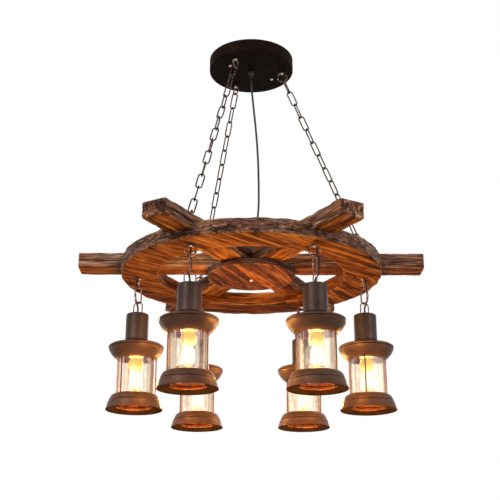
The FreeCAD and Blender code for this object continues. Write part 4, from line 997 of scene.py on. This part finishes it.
for name, (azimuth, bail_turn, rod_turn) in LANTERNS.items():
    body = f"lantern_{name}"
    foot = hook_of(name) + Vector((0, 0, FLOOR))
    placed = []

    def put(shape, node_name, turn=0, rise=0.0, aside=(0, 0)):
        spot = foot + Vector((aside[0] * MM, aside[1] * MM, rise * MM))
        number = f"_{len(placed)}" if shape == "guard_rod" else ""
        piece = new_object(f"{shape}_{name}{number}", shapes[shape], spot, turn)
        placed.append(piece)
        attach(piece, body)
        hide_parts(f"lantern_{node_name}_{name}")
        return piece

    put("base_shell", "base", rod_turn)
    for third in (0, 120, 240):
        angle = math.radians(rod_turn + third)
        put("guard_rod", "base", 0, 0.0,
            (ROD_CIRCLE * math.cos(angle), ROD_CIRCLE * math.sin(angle)))
    put("cap_shell", "cap", rod_turn, CAP)
    put("neck_cup", "neck", bail_turn, NECK)
    put("bail_wire", "neck", bail_turn)
    put("lead_bushing", "neck", 0, NECK_TOP)
    put("guard_glass", "glass", azimuth)
    put("lamp_socket", "lamp", 0, LAMP)
    put("lamp_thread", "lamp", 0, LAMP)
    envelope = put("lamp_envelope", "lamp", 0, LAMP)
    glow = put("lamp_glow", "lamp", 0, LAMP + GLOW_RISE)
    envelope.visible_shadow = False
    glow.visible_shadow = False
    light = bpy.data.lights.new(f"lamp_light_{name}", "POINT")
    light.energy = 3.6
    light.color = (1.0, 0.58, 0.15)
    light.shadow_soft_size = 0.012
    lamp = new_object(f"lamp_light_{name}", light, foot + Vector((0, 0, (LAMP + LIGHT_RISE) * MM)))
    lamp.visible_camera = False
    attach(lamp, body)

# ----------------------------------------
# Finishes of the pieces that keep their CAD shape
# ----------------------------------------

FINISHES = {
    "canopy_shell": CANOPY, "ceiling_bracket": STEEL, "canopy_screws": BRIGHT, "canopy_loops": WIRE,
    "canopy_loop_screws": BRIGHT, "canopy_loop_nuts": STEEL, "cord_grip": MOULDING,
    "terminal_block": MOULDING,
    "wheel_loops": WIRE, "wheel_loop_screws": BRIGHT, "hub_bolt": COPPER, "junction_box": BRONZE,
    "junction_lid": BRONZE, "connector_block": MOULDING, "chain_right": CHAIN, "chain_rear_left": CHAIN,
    "chain_front_left": CHAIN,
}
for name in LANTERNS:
    FINISHES[f"hanger_link_{name}"] = WIRE
for node_name, thing in NODES.items():
    material = FINISHES.get(node_name, BRONZE)
    thing.data.materials.clear()
    thing.data.materials.append(material)
    thing.data.shade_smooth()
    thing.data.set_sharp_from_angle(angle=math.radians(40))

# ----------------------------------------
# Light, floor and backdrop
# ----------------------------------------


def area_light(name, place, target, size, energy, colour):
    data = bpy.data.lights.new(name, "AREA")
    data.shape = "DISK"
    data.size = size
    data.energy = energy
    data.color = colour
    thing = new_object(name, data, place)
    thing.rotation_euler = (Vector(target) - Vector(place)).to_track_quat("-Z", "Y").to_euler()
    thing.visible_camera = False
    return thing


area_light("key_light", (-1.8, -2.2, 0.6), (0, 0, -0.6), 1.4, 40, (1.0, 0.98, 0.95))
area_light("fill_light", (2.2, -1.8, -0.4), (0, 0, -0.6), 1.6, 24, (0.96, 0.98, 1.0))
area_light("back_light", (0.4, 2.4, 0.3), (0, 0, -0.6), 1.6, 22, (1.0, 1.0, 1.0))
area_light("lamp_glow_on_wheel", (0, -0.04, FLOOR + 0.12), (0, -0.04, 0), 0.22, 1.1, (1.0, 0.55, 0.14))

world = bpy.data.worlds.new("studio")
scene.world = world
world.use_nodes = True
tree = world.node_tree
for old in list(tree.nodes):
    tree.nodes.remove(old)
output = tree.nodes.new("ShaderNodeOutputWorld")
path = tree.nodes.new("ShaderNodeLightPath")
plain = tree.nodes.new("ShaderNodeBackground")
plain.inputs["Color"].default_value = (1, 1, 1, 1)
plain.inputs["Strength"].default_value = 0.34
white = tree.nodes.new("ShaderNodeBackground")
white.inputs["Color"].default_value = (1, 1, 1, 1)
seen = tree.nodes.new("ShaderNodeMath")
seen.operation = "MAXIMUM"
either = tree.nodes.new("ShaderNodeMath")
either.operation = "MAXIMUM"
tree.links.new(path.outputs["Is Camera Ray"], seen.inputs[0])
tree.links.new(path.outputs["Is Transmission Ray"], seen.inputs[1])
tree.links.new(seen.outputs[0], either.inputs[0])
tree.links.new(path.outputs["Is Glossy Ray"], either.inputs[1])
choice = tree.nodes.new("ShaderNodeMixShader")
tree.links.new(either.outputs[0], choice.inputs[0])
tree.links.new(plain.outputs[0], choice.inputs[1])
tree.links.new(white.outputs[0], choice.inputs[2])
tree.links.new(choice.outputs[0], output.inputs[0])

floor_shader = Shader("floor", Roughness=0.8, Base_Color=(0.9, 0.9, 0.9, 1))
seen_light = floor_shader.add("LightPath").outputs["Is Camera Ray"]
plain_white = floor_shader.add("Emission", Color=(1, 1, 1, 1), Strength=1.0)
floor_mix = floor_shader.add("MixShader", _0=floor_shader.math("MULTIPLY", seen_light, 0.85),
                             _1=floor_shader.shader.outputs[0], _2=plain_white.outputs[0])
floor_shader.tree.links.new(floor_mix.outputs[0], floor_shader.output.inputs[0])
floor_size = 6.0
floor_height = -2.4
floor_points = [Vector((x * floor_size, y * floor_size, floor_height))
                for x, y in ((-1, -1), (1, -1), (1, 1), (-1, 1))]
floor = new_object("floor", new_mesh("floor", floor_points, [(0, 1, 2, 3)], floor_shader.material))

scene.view_settings.view_transform = "Standard"
